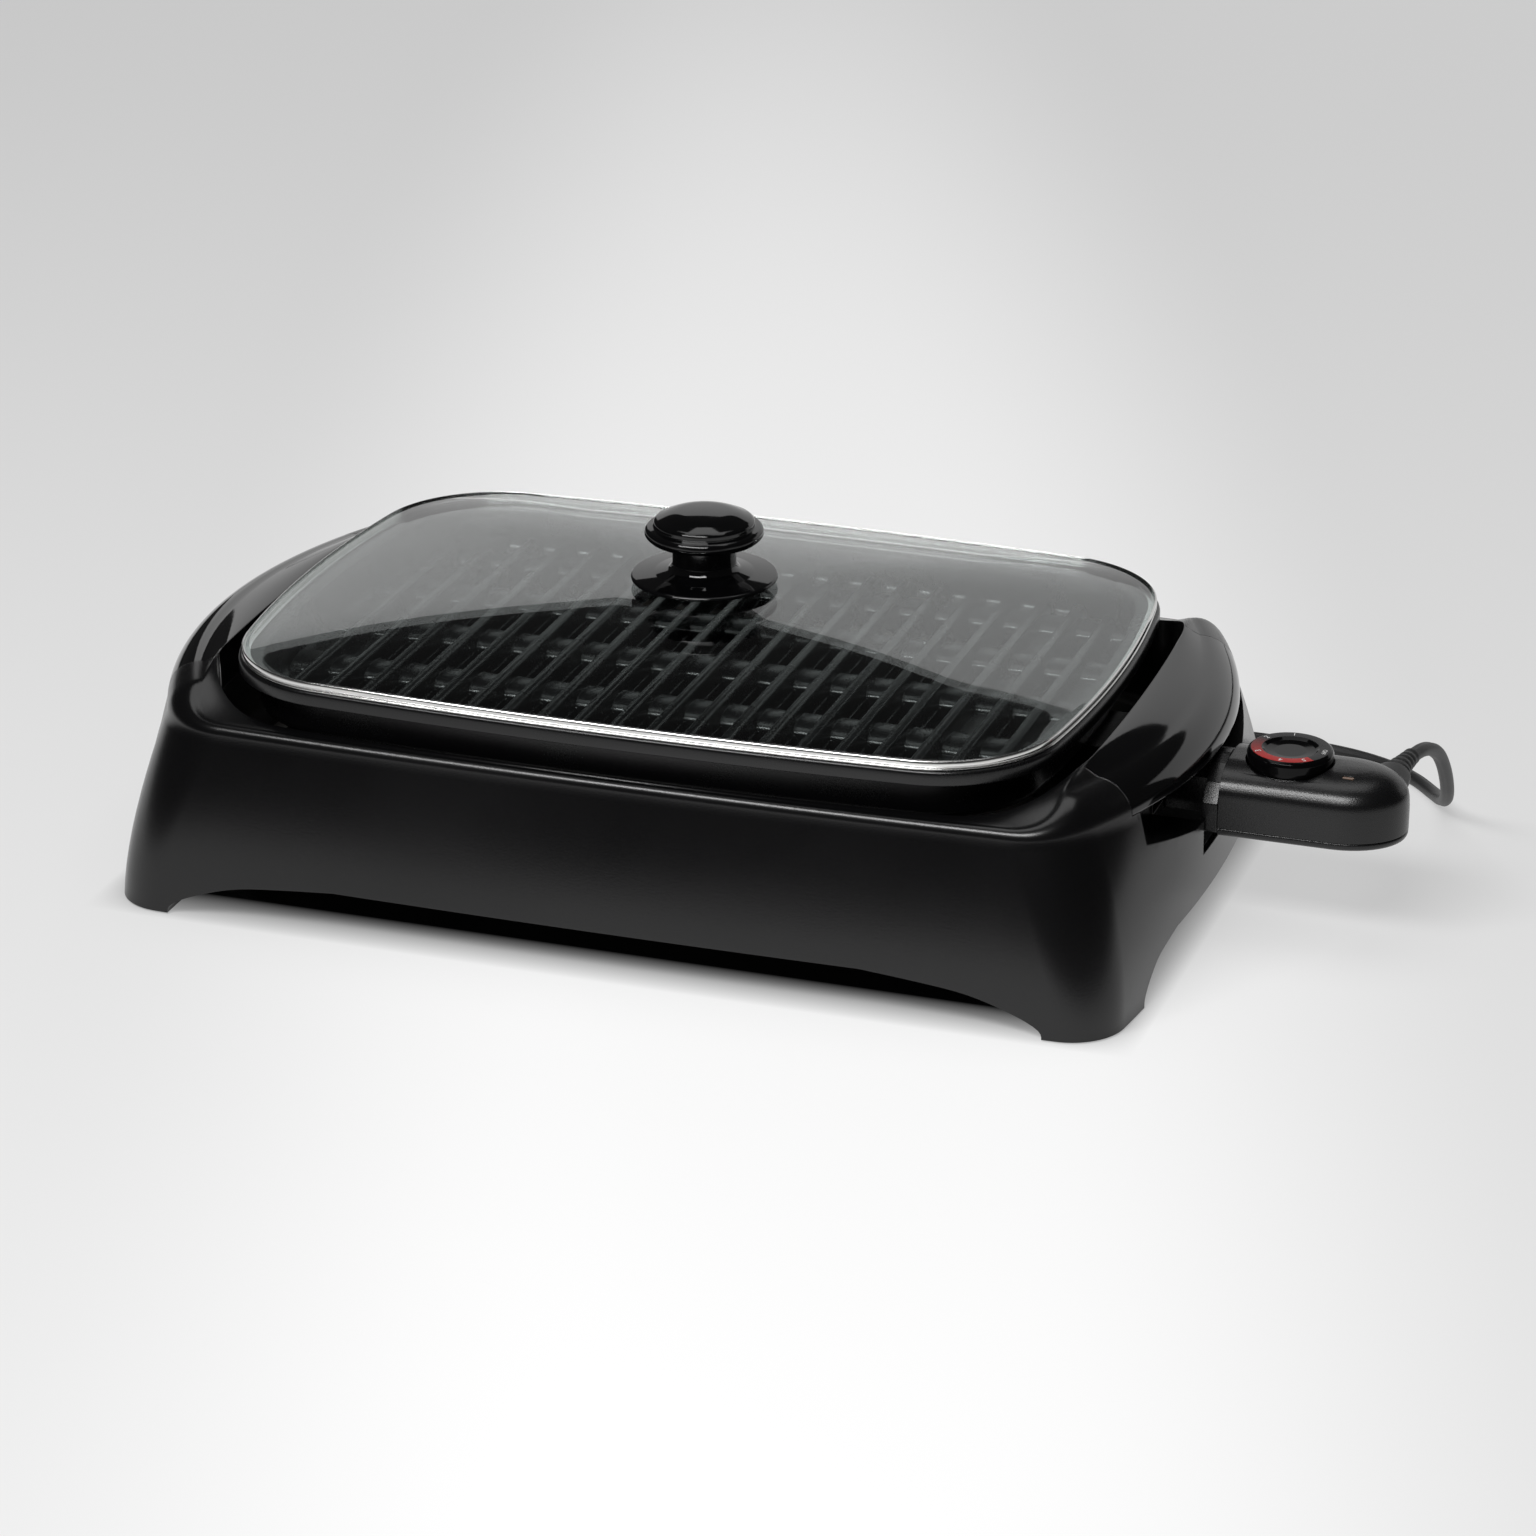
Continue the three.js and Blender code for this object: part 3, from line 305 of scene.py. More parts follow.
def lampGlass():
    look = Look("lampGlass")
    haze = look.noise(400, 2)
    return look.surface(Base_Color=look.blend(haze, (0.85, 0.80, 0.74), (0.92, 0.88, 0.82)),
                        Roughness=0.06 + haze * 0.05, Alpha=0.55 + haze * 0.1)


def rubber(name, dark, pale, rough):
    look = Look(name)
    dust, grain = look.noise(40, 4), look.noise(1200, 3)
    return look.surface(Base_Color=look.blend(look.spread(dust, 0.4, 0.75, 0, 1), dark, pale),
                        Roughness=rough + grain * 0.1,
                        Normal=look.bump(grain, 0.5, 0.0001, look.softEdges(0.0005)))


def footRubber():
    return rubber("footRubber", (0.018, 0.018, 0.018), (0.045, 0.043, 0.040), 0.70)


def siliconeWasher():
    return rubber("siliconeWasher", (0.03, 0.03, 0.03), (0.05, 0.05, 0.05), 0.55)


def cordJacket():
    return rubber("cordJacket", (0.012, 0.012, 0.0125), (0.026, 0.026, 0.026), 0.42)


def tieStrap():
    # hook-and-loop strap: a coarse nap over a woven ground
    look = Look("tieStrap")
    nap, weave = look.noise(1800, 4), look.cells(900)
    return look.surface(Base_Color=look.blend(nap, (0.010, 0.010, 0.011), (0.045, 0.045, 0.048)),
                        Roughness=0.85, Normal=look.bump(nap + weave * 0.5, 0.8, 0.0004))


def steatite():
    look = Look("steatite")
    grain = look.noise(900, 4)
    return look.surface(Base_Color=look.blend(grain, (0.62, 0.57, 0.48), (0.78, 0.74, 0.66)),
                        Roughness=0.6 + grain * 0.15, Normal=look.bump(grain, 0.4, 0.0001))


def brownPhenolic():
    look = Look("brownPhenolic")
    swirl = look.noise(260, 5)
    return look.surface(Base_Color=look.blend(swirl, (0.10, 0.045, 0.022), (0.19, 0.09, 0.045)),
                        Roughness=0.3 + swirl * 0.2, Normal=look.softEdges(0.0004))


def amberLens():
    look = Look("amberLens")
    depth = look.noise(350, 2)
    return look.surface(Base_Color=look.blend(depth, (0.16, 0.09, 0.06), (0.24, 0.15, 0.10)),
                        Roughness=0.14 + depth * 0.08, Transmission_Weight=0.15)


print("materials described")


# mesh helpers
def meshObject(name, points, faces):
    mesh = bpy.data.meshes.new(name)
    mesh.from_pydata([tuple(p) for p in points], [], faces)
    obj = bpy.data.objects.new(name, mesh)
    bpy.context.scene.collection.objects.link(obj)
    work = bmesh.new()
    work.from_mesh(mesh)
    bmesh.ops.remove_doubles(work, verts=work.verts, dist=1e-4)
    bmesh.ops.recalc_face_normals(work, faces=work.faces)
    work.to_mesh(mesh)
    work.free()
    return obj


def skin(rings, loop=False):
    # joins rings of points that run the same way round; the ends are closed, or joined when loop is true
    count, levels = len(rings[0]), len(rings)
    points = [p for ring in rings for p in ring]
    faces = []
    for k in range(levels if loop else levels - 1):
        a, b = k * count, (k + 1) % levels * count
        faces += [(a + i, a + (i + 1) % count, b + (i + 1) % count, b + i) for i in range(count)]
    if not loop:
        for start in (0, (levels - 1) * count):
            ring = points[start:start + count]
            points.append([sum(p[k] for p in ring) / count for k in range(3)])
            faces += [(start + i, start + (i + 1) % count, len(points) - 1) for i in range(count)]
    return meshObject("skin", points, faces)


def at(points, z):
    return [(x, y, z) for x, y in points]


def prism(points, z0, z1):
    return skin([at(points, z0), at(points, z1)])


def prismAlongX(points, x0, x1):
    return skin([[(x, y, z) for y, z in points] for x in (x0, x1)])


def prismAlongY(points, y0, y1):
    return skin([[(x, y, z) for x, z in points] for y in (y0, y1)])


def block(x0, x1, y0, y1, z0, z1, edge=0.0):
    points = [(x0, y0), (x1, y0), (x1, y1), (x0, y1)]
    return prism(rounded(points, edge, 4, True) if edge else points, z0, z1)


def turned(profile, segments=72, x=0.0, y=0.0):
    # profile of (radius, height) points from the axis back to the axis
    rings = []
    for i in range(segments):
        a = 2 * math.pi * i / segments
        rings.append([(x + r * math.cos(a), y + r * math.sin(a), z) for r, z in profile])
    count, points = len(profile), [p for ring in rings for p in ring]
    faces = []
    for k in range(segments):
        a, b = k * count, (k + 1) % segments * count
        faces += [(a + i, a + i + 1, b + i + 1, b + i) for i in range(count - 1)]
    return meshObject("turned", points, faces)


def rod(x, y, radius, z0, z1, segments=40):
    return turned([(0, z0), (radius, z0), (radius, z1), (0, z1)], segments, x, y)


def rodAlongX(y, z, radius, x0, x1, segments=32):
    turns = [2 * math.pi * i / segments for i in range(segments)]
    return skin([[(x, y + radius * math.cos(a), z + radius * math.sin(a)) for a in turns] for x in (x0, x1)])


def rounded(points, radius, steps=5, closed=False):
    # the same outline with its corners rounded; radius may be one number or one for each point
    result = []
    count = len(points)
    for i, p in enumerate(points):
        own = radius[i] if isinstance(radius, (list, tuple)) else radius
        if own <= 0 or (not closed and i in (0, count - 1)):
            result.append(tuple(p))
            continue
        here, before, after = Vector(p), Vector(points[i - 1]), Vector(points[(i + 1) % count])
        toBefore, toAfter = before - here, after - here
        bend = math.pi - toBefore.angle(toAfter, math.pi)
        if bend < 0.02:
            result.append(tuple(p))
            continue
        reach = min(own * math.tan(bend / 2), toBefore.length * 0.49, toAfter.length * 0.49)
        start, end = here + toBefore.normalized() * reach, here + toAfter.normalized() * reach
        for k in range(steps + 1):
            t = k / steps
            result.append(tuple(start * (1 - t) ** 2 + here * 2 * t * (1 - t) + end * t ** 2))
    return result


def smoothPath(points, steps):
    # a smooth curve through the points, as a centripetal Catmull-Rom spline
    points = [Vector(p) for p in points]
    ends = [points[0] * 2 - points[1], *points, points[-1] * 2 - points[-2]]
    result = []
    for i in range(len(points) - 1):
        p = ends[i:i + 4]
        t = [0.0]
        for a, b in zip(p, p[1:]):
            t.append(t[-1] + max((b - a).length, 1e-6) ** 0.5)
        for k in range(steps):
            u = t[1] + (t[2] - t[1]) * k / steps
            a = [p[j] * ((t[j + 1] - u) / (t[j + 1] - t[j])) + p[j + 1] * ((u - t[j]) / (t[j + 1] - t[j]))
                 for j in range(3)]
            b = [a[j] * ((t[j + 2] - u) / (t[j + 2] - t[j])) + a[j + 1] * ((u - t[j]) / (t[j + 2] - t[j]))
                 for j in range(2)]
            result.append(b[0] * ((t[2] - u) / (t[2] - t[1])) + b[1] * ((u - t[1]) / (t[2] - t[1])))
    return [*result, points[-1]]


def tube(path, sides, section):
    # sweeps a section along a path; section(turn) says how far out and how far up each point lies
    side = None
    rings = []
    turns = [2 * math.pi * i / sides for i in range(sides)]
    for i, p in enumerate(path):
        ahead, behind = path[min(i + 1, len(path) - 1)], path[max(i - 1, 0)]
        along = (Vector(ahead) - Vector(behind)).normalized()
        if side is None:
            side = along.cross(Vector((0, 0, 1)))
        side = (side - along * side.dot(along)).normalized()
        up = side.cross(along)
        ring = []
        for a in turns:
            wide, high = section(a)
            ring.append(tuple(Vector(p) + side * wide + up * high))
        rings.append(ring)
    return skin(rings)


def remove(obj):
    bpy.data.objects.remove(obj)


def applied(obj):
    graph = bpy.context.evaluated_depsgraph_get()
    mesh = bpy.data.meshes.new_from_object(obj.evaluated_get(graph))
    obj.modifiers.clear()
    obj.data = mesh
    return obj


def combine(target, tools, operation):
    for tool in tools:
        step = target.modifiers.new("step", "BOOLEAN")
        step.operation, step.object, step.solver = operation, tool, "MANIFOLD"
        applied(target)
        remove(tool)
    return target


def add(target, *tools):
    return combine(target, tools, "UNION")


def cut(target, *tools):
    return combine(target, tools, "DIFFERENCE")


def keep(target, *tools):
    return combine(target, tools, "INTERSECT")


def copyOf(obj):
    twin = obj.copy()
    twin.data = obj.data.copy()
    bpy.context.scene.collection.objects.link(twin)
    return twin


def joined(objects):
    # separate closed bodies in one mesh
    work = bmesh.new()
    for obj in objects:
        work.from_mesh(obj.data)
    mesh = bpy.data.meshes.new("joined")
    work.to_mesh(mesh)
    work.free()
    for obj in objects[1:]:
        remove(obj)
    objects[0].data = mesh
    return objects[0]


def mirrored(obj):
    obj.data.transform(Matrix.Scale(-1, 4, (1, 0, 0)))
    obj.data.flip_normals()
    return obj


def settle(obj, name, body, material, replaced=(), sharp=32):
    obj.name = obj.data.name = name
    obj.data.transform(toFrame)
    obj.data.shade_smooth()
    obj.data.set_sharp_from_angle(angle=math.radians(sharp))
    obj.data.materials.clear()
    obj.data.materials.append(material)
    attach(obj, body)
    if replaced:
        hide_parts(*replaced)
    return obj


# cord
cord = {"radius": 3.6, "coilRadius": 40, "coilMiddle": (110, 262), "turns": 2, "floorZ": 4.0, "length": 0.968}
cordLead = [
    (350.6, 58, 74.6), (353, 70, 73.4), (355, 82, 69.5), (356.5, 95, 62), (357, 108, 51),
    (356.5, 121, 38.5), (355, 134, 26.5), (352, 148, 16), (347, 163, 8.6), (339, 179, 5), (327, 195, 4),
    (311, 208, 4), (291, 217, 4), (268, 222, 4), (243, 224, 4), (217, 224, 4), (190, 223.4, 4),
    (163, 222.4, 4), (137.5, 222, 4)]
cordTail = [(82.5, 222, 17.6), (71, 222, 14.9), (59.5, 222, 11.3), (48, 222, 9.4), (36.3, 222, 9.2)]


def cordPath(values):
    # the lead, then the turns of the coil one on another, then the tail down to the plug
    (x, y), radius, rise = values["coilMiddle"], values["coilRadius"], values["radius"] * 2
    steps = 24 * values["turns"]
    coil = []
    for i in range(steps + 1):
        turn = -math.pi / 2 - 2 * math.pi * values["turns"] * i / steps
        coil.append((x + radius * math.cos(turn), y + radius * math.sin(turn),
                     values["floorZ"] + rise * values["turns"] * i / steps))
    return smoothPath([*cordLead, *coil, *cordTail], 6)


def jacket(turn):
    # a round jacket with a shallow groove along the top and the bottom, between its two cores
    groove = max(abs(math.sin(turn)) - 0.93, 0) / 0.07
    reach = cord["radius"] * (1 - 0.13 * groove ** 2)
    return reach * math.cos(turn), reach * math.sin(turn)


path = cordPath(cord)
cordMesh = tube(path, 28, jacket)
cordPiece = settle(cordMesh, "heaterCord", "probe", finish(cordJacket))
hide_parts("cord_lead", "cord_coil", "cord_tail")

plug = {"x": 2, "y": 222, "length": 34, "width": 24, "height": 18, "lift": 0.2, "ribs": 4, "ribPitch": 0.075}


def superRing(x, y, z, wide, high, power=3.2, count=40):
    # a rounded rectangle standing across X
    ring = []
    for i in range(count):
        a = 2 * math.pi * i / count
        c, s = math.cos(a), math.sin(a)
        ring.append((x, y + wide * math.copysign(abs(c) ** (2 / power), c),
                     z + high * math.copysign(abs(s) ** (2 / power), s)))
    return ring


def makePlug(values):
    x, y, length = values["x"], values["y"], values["length"]
    wide, high = values["width"] / 2, values["height"] / 2
    z = high + values["lift"]
    body = [(0, 0.86), (0.02, 0.93), (0.05, 0.97), (0.09, 1), (0.3, 0.985), (0.5, 0.94), (0.58, 0.86),
            (0.64, 0.72)]
    rings = [superRing(x + length * t, y, z, wide * s, high * s) for t, s in body]
    for k in range(values["ribs"]):
        # each rib of the tail is a little smaller than the one before it
        t = 0.68 + values["ribPitch"] * k
        for offset, share in ((0, 0.50), (0.02, 0.56), (0.045, 0.56), (0.06, 0.46)):
            size = share - 0.05 * k
            rings.append(superRing(x + length * (t + offset), y, z, wide * size, high * (size + 0.06), 2.6))
    rings.append(superRing(x + length, y, z, 4.0, 3.9, 2))
    return skin(rings)


plugPiece = settle(makePlug(plug), "plugMoulding", "probe", finish(cordJacket), ("plug_body",))


tie = {"inside": 5.4, "outside": 5.0, "low": 0.3, "top": 24.0, "sheet": 1.0, "halfWidth": 6}


def makeTie(values):
    # a strap once round the bundle, lying flat on the table
    x, y = cord["coilMiddle"]
    inner, outer = cord["coilRadius"] - values["inside"], cord["coilRadius"] + values["outside"]
    low, top, sheet, half = (values[k] for k in ("low", "top", "sheet", "halfWidth"))
    path = rounded([(outer, low), (outer, top), (inner, top), (inner, low)], 4, 6, True)
    thick = rounded([(outer + sheet, low - 0.05), (outer + sheet, top + sheet), (inner - sheet, top + sheet),
                     (inner - sheet, low - 0.05)], 5, 6, True)
    return skin([[(x + off, y + r, z) for r, z in ring]
                 for ring, off in ((path, -half), (path, half), (thick, half), (thick, -half))], True)


tiePiece = settle(makeTie(tie), "coilStrap", "probe", finish(tieStrap), ("cord_tie",))

relief = {"start": (343.6, 20, 73.5), "end": (350.4, 57.7, 74.6), "ribs": 5}


def makeRelief(values):
    start, end = Vector(values["start"]), Vector(values["end"])
    along = (end - start).normalized()
    side = along.cross(Vector((0, 0, 1))).normalized()
    up = side.cross(along)
    steps = smoothPath([(0, 13, 6.6), (0.3, 10.4, 6), (0.5, 7.2, 5.4), (0.75, 5.2, 4.8), (1, 4.4, 4.2)], 12)
    rings = []
    for t, wide, high in steps:
        groove = 1.0
        if t > 0.42:
            wave = math.sin((t - 0.42) / 0.58 * values["ribs"] * 2 * math.pi)
            groove = 1 - 0.09 * max(0.0, min(1.0, wave * 2.2))
        middle = start + (end - start) * t
        ring = []
        for i in range(36):
            a = 2 * math.pi * i / 36
            across, climb = wide * groove * math.cos(a), high * groove * math.sin(a)
            ring.append(tuple(middle + side * across + up * climb))
        rings.append(ring)
    return skin(rings)


reliefPiece = settle(makeRelief(relief), "strainReliefRibbed", "probe", finish(cordJacket),
                     ("strain_relief",))
print("cord laid")


# outlines
def outline(plan, inset=0.0, steps=(12, 16, 12)):
    # a rounded rectangle with bowed ends and sides; an inset gives the parallel outline inside it
    a, b = plan["halfLength"] - inset, plan["halfDepth"] - inset
    end, side, corner = plan["endRadius"] - inset, plan["sideRadius"] - inset, plan["corner"] - inset
    endX, sideY = a - end, b - side
    apart = math.hypot(endX, sideY)
    along = ((end - corner) ** 2 - (side - corner) ** 2 + apart ** 2) / (2 * apart)
    off = math.sqrt((end - corner) ** 2 - along ** 2)
    ux, uy = -endX / apart, sideY / apart
    cornerX, cornerY = endX + ux * along - uy * off, uy * along + ux * off
    endTurn = math.atan2(cornerY, cornerX - endX)
    sideTurn = math.atan2(cornerY - sideY, cornerX)
    quarter = []
    for x, y, radius, start, stop, count in (
            (endX, 0, end, 0, endTurn, steps[0]), (cornerX, cornerY, corner, endTurn, sideTurn, steps[1]),
            (0, sideY, side, sideTurn, math.pi / 2, steps[2])):
        for i in range(count):
            turn = start + (stop - start) * i / count
            quarter.append((x + radius * math.cos(turn), y + radius * math.sin(turn)))
    half = [*quarter, (0, b), *[(-x, y) for x, y in quarter[:0:-1]]]
    return [*half, *[(x, -y) for x, y in [*half, (-a, 0)][:0:-1]]]


def banded(plan, profile, steps=(12, 16, 12)):
    # sweeps a closed profile of (inset, height) points round an outline
    return skin([at(outline(plan, inset, steps), z) for inset, z in profile], True)


# base
base = {
    "halfLength": 268.5, "footHalfDepth": 169, "shoulderHalfDepth": 152.5, "footEndRadius": 1000,
    "shoulderEndRadius": 280, "sideRadius": 6000, "footCorner": 28, "shoulderCorner": 44, "bottom": 0.9,
    "shoulder": 92, "rim": 98, "endRise": 16, "wall": 3, "archHeight": 24.5, "legLength": 46, "legDepth": 54,
    "legFloor": 6, "turnWidth": 4, "turnHeight": 5.2, "endTurnWidth": 18, "endTurnHeight": 17.2}
well = {"halfLength": 227.5, "halfDepth": 147.5, "endRadius": 1500, "sideRadius": 2345, "corner": 60,
        "lip": 2.6, "lipBottom": 44}
handle = {"halfWidth": 95, "slant": 0.16, "bottom": 93, "ledge": 3, "gap": 0.3}
pocket = {"depth": 240, "halfWidth": 95, "floor": 64, "endFloor": 76, "flatHalfWidth": 42, "wall": 2.5}
opening = {"halfWidth": 30.5, "bottom": 46, "top": 89.4}
footHole = {"x": 240, "y": 146, "radius": 9.3, "top": 5.3}
# cutting shapes run out past the base as far as this
beyond = {"x": 290, "y": 200, "z": 140}


def skirt(z):
    # the plan of the base at one height: its ends bow out and its sides lean in on the way up
    t = max(0.0, z / base["shoulder"])
    footBow, shoulderBow = 1 / base["footEndRadius"], 1 / base["shoulderEndRadius"]
    lean = base["footHalfDepth"] - base["shoulderHalfDepth"]
    return {"halfLength": base["halfLength"], "halfDepth": base["footHalfDepth"] - lean * t ** 1.6,
            "endRadius": 1 / (footBow + (shoulderBow - footBow) * t ** 1.8), "sideRadius": base["sideRadius"],
            "corner": base["footCorner"] - (base["footCorner"] - base["shoulderCorner"]) * t}


def rimRise(y):
    t = min(1.0, max(0.0, (well["halfDepth"] - abs(y)) / (well["halfDepth"] - handle["halfWidth"])))
    return base["endRise"] * t * t * (3 - 2 * t)


def baseBody(inset, bottom):
    # the shoulder's rounding is narrow in front and behind, and wide and high along the two handles
    levels = [bottom, 8, 16, 24, 33, 42, 51, 60, 68, 76, 83, 88, base["shoulder"] - inset]
    turnSteps, slopeSteps = 10, 9
    rings = [at(outline(skirt(z), inset), z) for z in levels]
    shoulder, inner = skirt(base["shoulder"]), outline(well)
    shares = [rimRise(y) / base["endRise"] for _, y in inner]
    for k in range(1, turnSteps + 1):
        a = math.pi / (2 * turnSteps) * k
        narrow = outline(shoulder, inset + base["turnWidth"] * (1 - math.cos(a)))
        wide = outline(shoulder, inset + base["endTurnWidth"] * (1 - math.cos(a)))
        rings.append([
            (*Vector(p).lerp(Vector(q), t), base["shoulder"] - inset
             + (base["turnHeight"] + (base["endTurnHeight"] - base["turnHeight"]) * t) * math.sin(a))
            for p, q, t in zip(narrow, wide, shares)])
    outer = rings[-1]
    for k in range(1, slopeSteps + 1):
        across, climb = k / slopeSteps, math.sin(k / slopeSteps * math.pi / 2)
        rings.append([
            (x + (ix - x) * across, y + (iy - y) * across,
             z + (base["rim"] + rimRise(iy) - inset - z) * climb)
            for (x, y, z), (ix, iy) in zip(outer, inner)])
    return skin(rings)


def arch(halfWidth, height):
    shape = smoothPath([(0, -0.1), (0.008, 0.22), (0.085, 0.55), (0.18, 0.79), (0.29, 0.91), (0.4, 1)], 5)
    right = [(halfWidth * (1 - p[0]), height * p[1]) for p in shape]
    return [*right, *[(-x, z) for x, z in reversed(right)]]


def pocketProfile(grow):
    half, flat = pocket["halfWidth"] + grow, pocket["flatHalfWidth"]
    return [(-half, handle["bottom"]), (-half, pocket["endFloor"] - grow), (-flat, pocket["floor"] - grow),
            (flat, pocket["floor"] - grow), (half, pocket["endFloor"] - grow), (half, handle["bottom"])]


def handlePlan(grow):
    inner, outer = well["halfLength"] - 14, base["halfLength"] + 6
    half = handle["halfWidth"] + grow
    outerHalf = half + (outer - inner) * handle["slant"]
    return [(inner, -half), (outer, -outerHalf), (outer, outerHalf), (inner, half)]


def makeBase():
    bottom, legTop, wall = base["bottom"], base["bottom"] + base["legFloor"], base["wall"]
    ledgeTop, wellEnd = handle["bottom"] - handle["gap"], well["halfLength"]
    outer = baseBody(0, bottom)
    shell = cut(copyOf(outer), baseBody(wall, bottom - 20))
    extra = add(prism(outline(skirt(base["legFloor"] / 2), wall - 1), bottom, legTop),
                prism(outline(well, -well["lip"]), well["lipBottom"], beyond["z"]))
    for turn in (lambda o: o, mirrored):
        extra = add(extra,
                    turn(prismAlongX(pocketProfile(pocket["wall"]), pocket["depth"] - pocket["wall"],
                                     beyond["x"])),
                    turn(block(wellEnd + 1, pocket["depth"], -pocket["halfWidth"], pocket["halfWidth"],
                               ledgeTop - handle["ledge"], ledgeTop)))
    shell = add(shell, keep(extra, copyOf(outer)))
    for turn in (lambda o: o, mirrored):
        shell = cut(shell, turn(prismAlongX(pocketProfile(0), pocket["depth"], beyond["x"])),
                    turn(prism(handlePlan(handle["gap"]), ledgeTop, beyond["z"])))
    endArch = arch(base["footHalfDepth"] - base["legDepth"], base["archHeight"])
    sideArch = arch(base["halfLength"] + 2.5 - base["legLength"], base["archHeight"])
    shell = cut(shell, prism(outline(well), well["lipBottom"] - 4, beyond["z"]),
                prismAlongY(sideArch, -beyond["y"], beyond["y"]),
                prismAlongX(endArch, -beyond["x"], beyond["x"]),
                block(wellEnd - 4, beyond["x"], -opening["halfWidth"], opening["halfWidth"],
                      opening["bottom"], opening["top"]))
    # a rib stands inside the shell, beside the control's opening
    rib = block(wellEnd + 1.5, pocket["depth"] + 26, opening["halfWidth"] + 0.5, opening["halfWidth"] + 2.5,
                base["archHeight"] + 2, pocket["floor"] + 0.5)
    shell = add(shell, keep(rib, copyOf(outer)))
    for x in (-footHole["x"], footHole["x"]):
        shell = cut(shell, *[rod(x, y, footHole["radius"], -1, footHole["top"])
                             for y in (-footHole["y"], footHole["y"])])
    return shell, outer


baseMesh, outerBody = makeBase()
settle(baseMesh, "baseMoulding", "base", finish(texturedPlastic), ("base_shell",))
print("base moulded")


def makeHandle(outer):
    return cut(keep(prism(handlePlan(0), handle["bottom"], beyond["z"]), copyOf(outer)),
               prism(outline(well, 0.05), well["lipBottom"] - 4, beyond["z"]))


for side in ("left", "right"):
    shape = makeHandle(outerBody)
    if side == "left":
        mirrored(shape)
    settle(shape, f"{side}HandleMoulding", "base", finish(polishedBlack), (f"{side}_handle",))
remove(outerBody)
print("handles moulded")

# drip tray
tray = {"plan": {"halfLength": 213, "halfDepth": 136, "endRadius": 4000, "sideRadius": 4000, "corner": 46},
        "bottom": 30.5, "top": 56, "wall": 1.2, "flange": 6}


def makeTray(values):
    low, top, wall, flange = values["bottom"], values["top"], values["wall"], values["flange"]
    outside = [(9.5, low), (5.2, low + 1.2), (2.6, low + 5), (1.6, low + 9), (0.9, top - 3),
               (0.2, top - 1.9), (-0.9, top - wall), (-flange + 0.4, top - wall), (-flange, top - wall / 2),
               (-flange + 0.4, top)]
    inside = [(0.4, top), (1.4, top - 0.6), (2.0, top - 3), (2.8, low + 9), (3.8, low + 5.4),
              (6.2, low + 2.2), (9.8, low + wall)]
    # the middle of the pan is part of the same closed skin
    rings = [at(outline(values["plan"], inset), z) for inset, z in [*outside, *inside]]
    return skin(rings)


settle(makeTray(tray), "dripPan", "base", finish(trayBlack), ("drip_tray",), 40)

# grill plate
plate = {"halfLength": 217.5, "halfDepth": 151.5, "endRadius": 680, "sideRadius": 2345, "corner": 63,
         "floor": 98, "underside": 92}
ridges = {"pitch": 18.9, "count": 20, "footHalf": 4.1, "topHalf": 3.3, "top": 108}
webs = {"pitch": 57, "length": 25, "crest": 102.6, "slotLength": 31.6, "slotRows": 4, "webRows": 5}
terminal = {"z": 72, "spread": 9.5, "back": 178, "face": 222, "halfWidth": 24, "bottom": 62, "bore": 3.8}
element = {"radius": 3.5, "z": 87.8, "side": 95, "left": -165, "right": 150, "bend": 14}
# the channels right over the two ends of the heating element have no slots
solidChannels = (element["left"], element["right"])


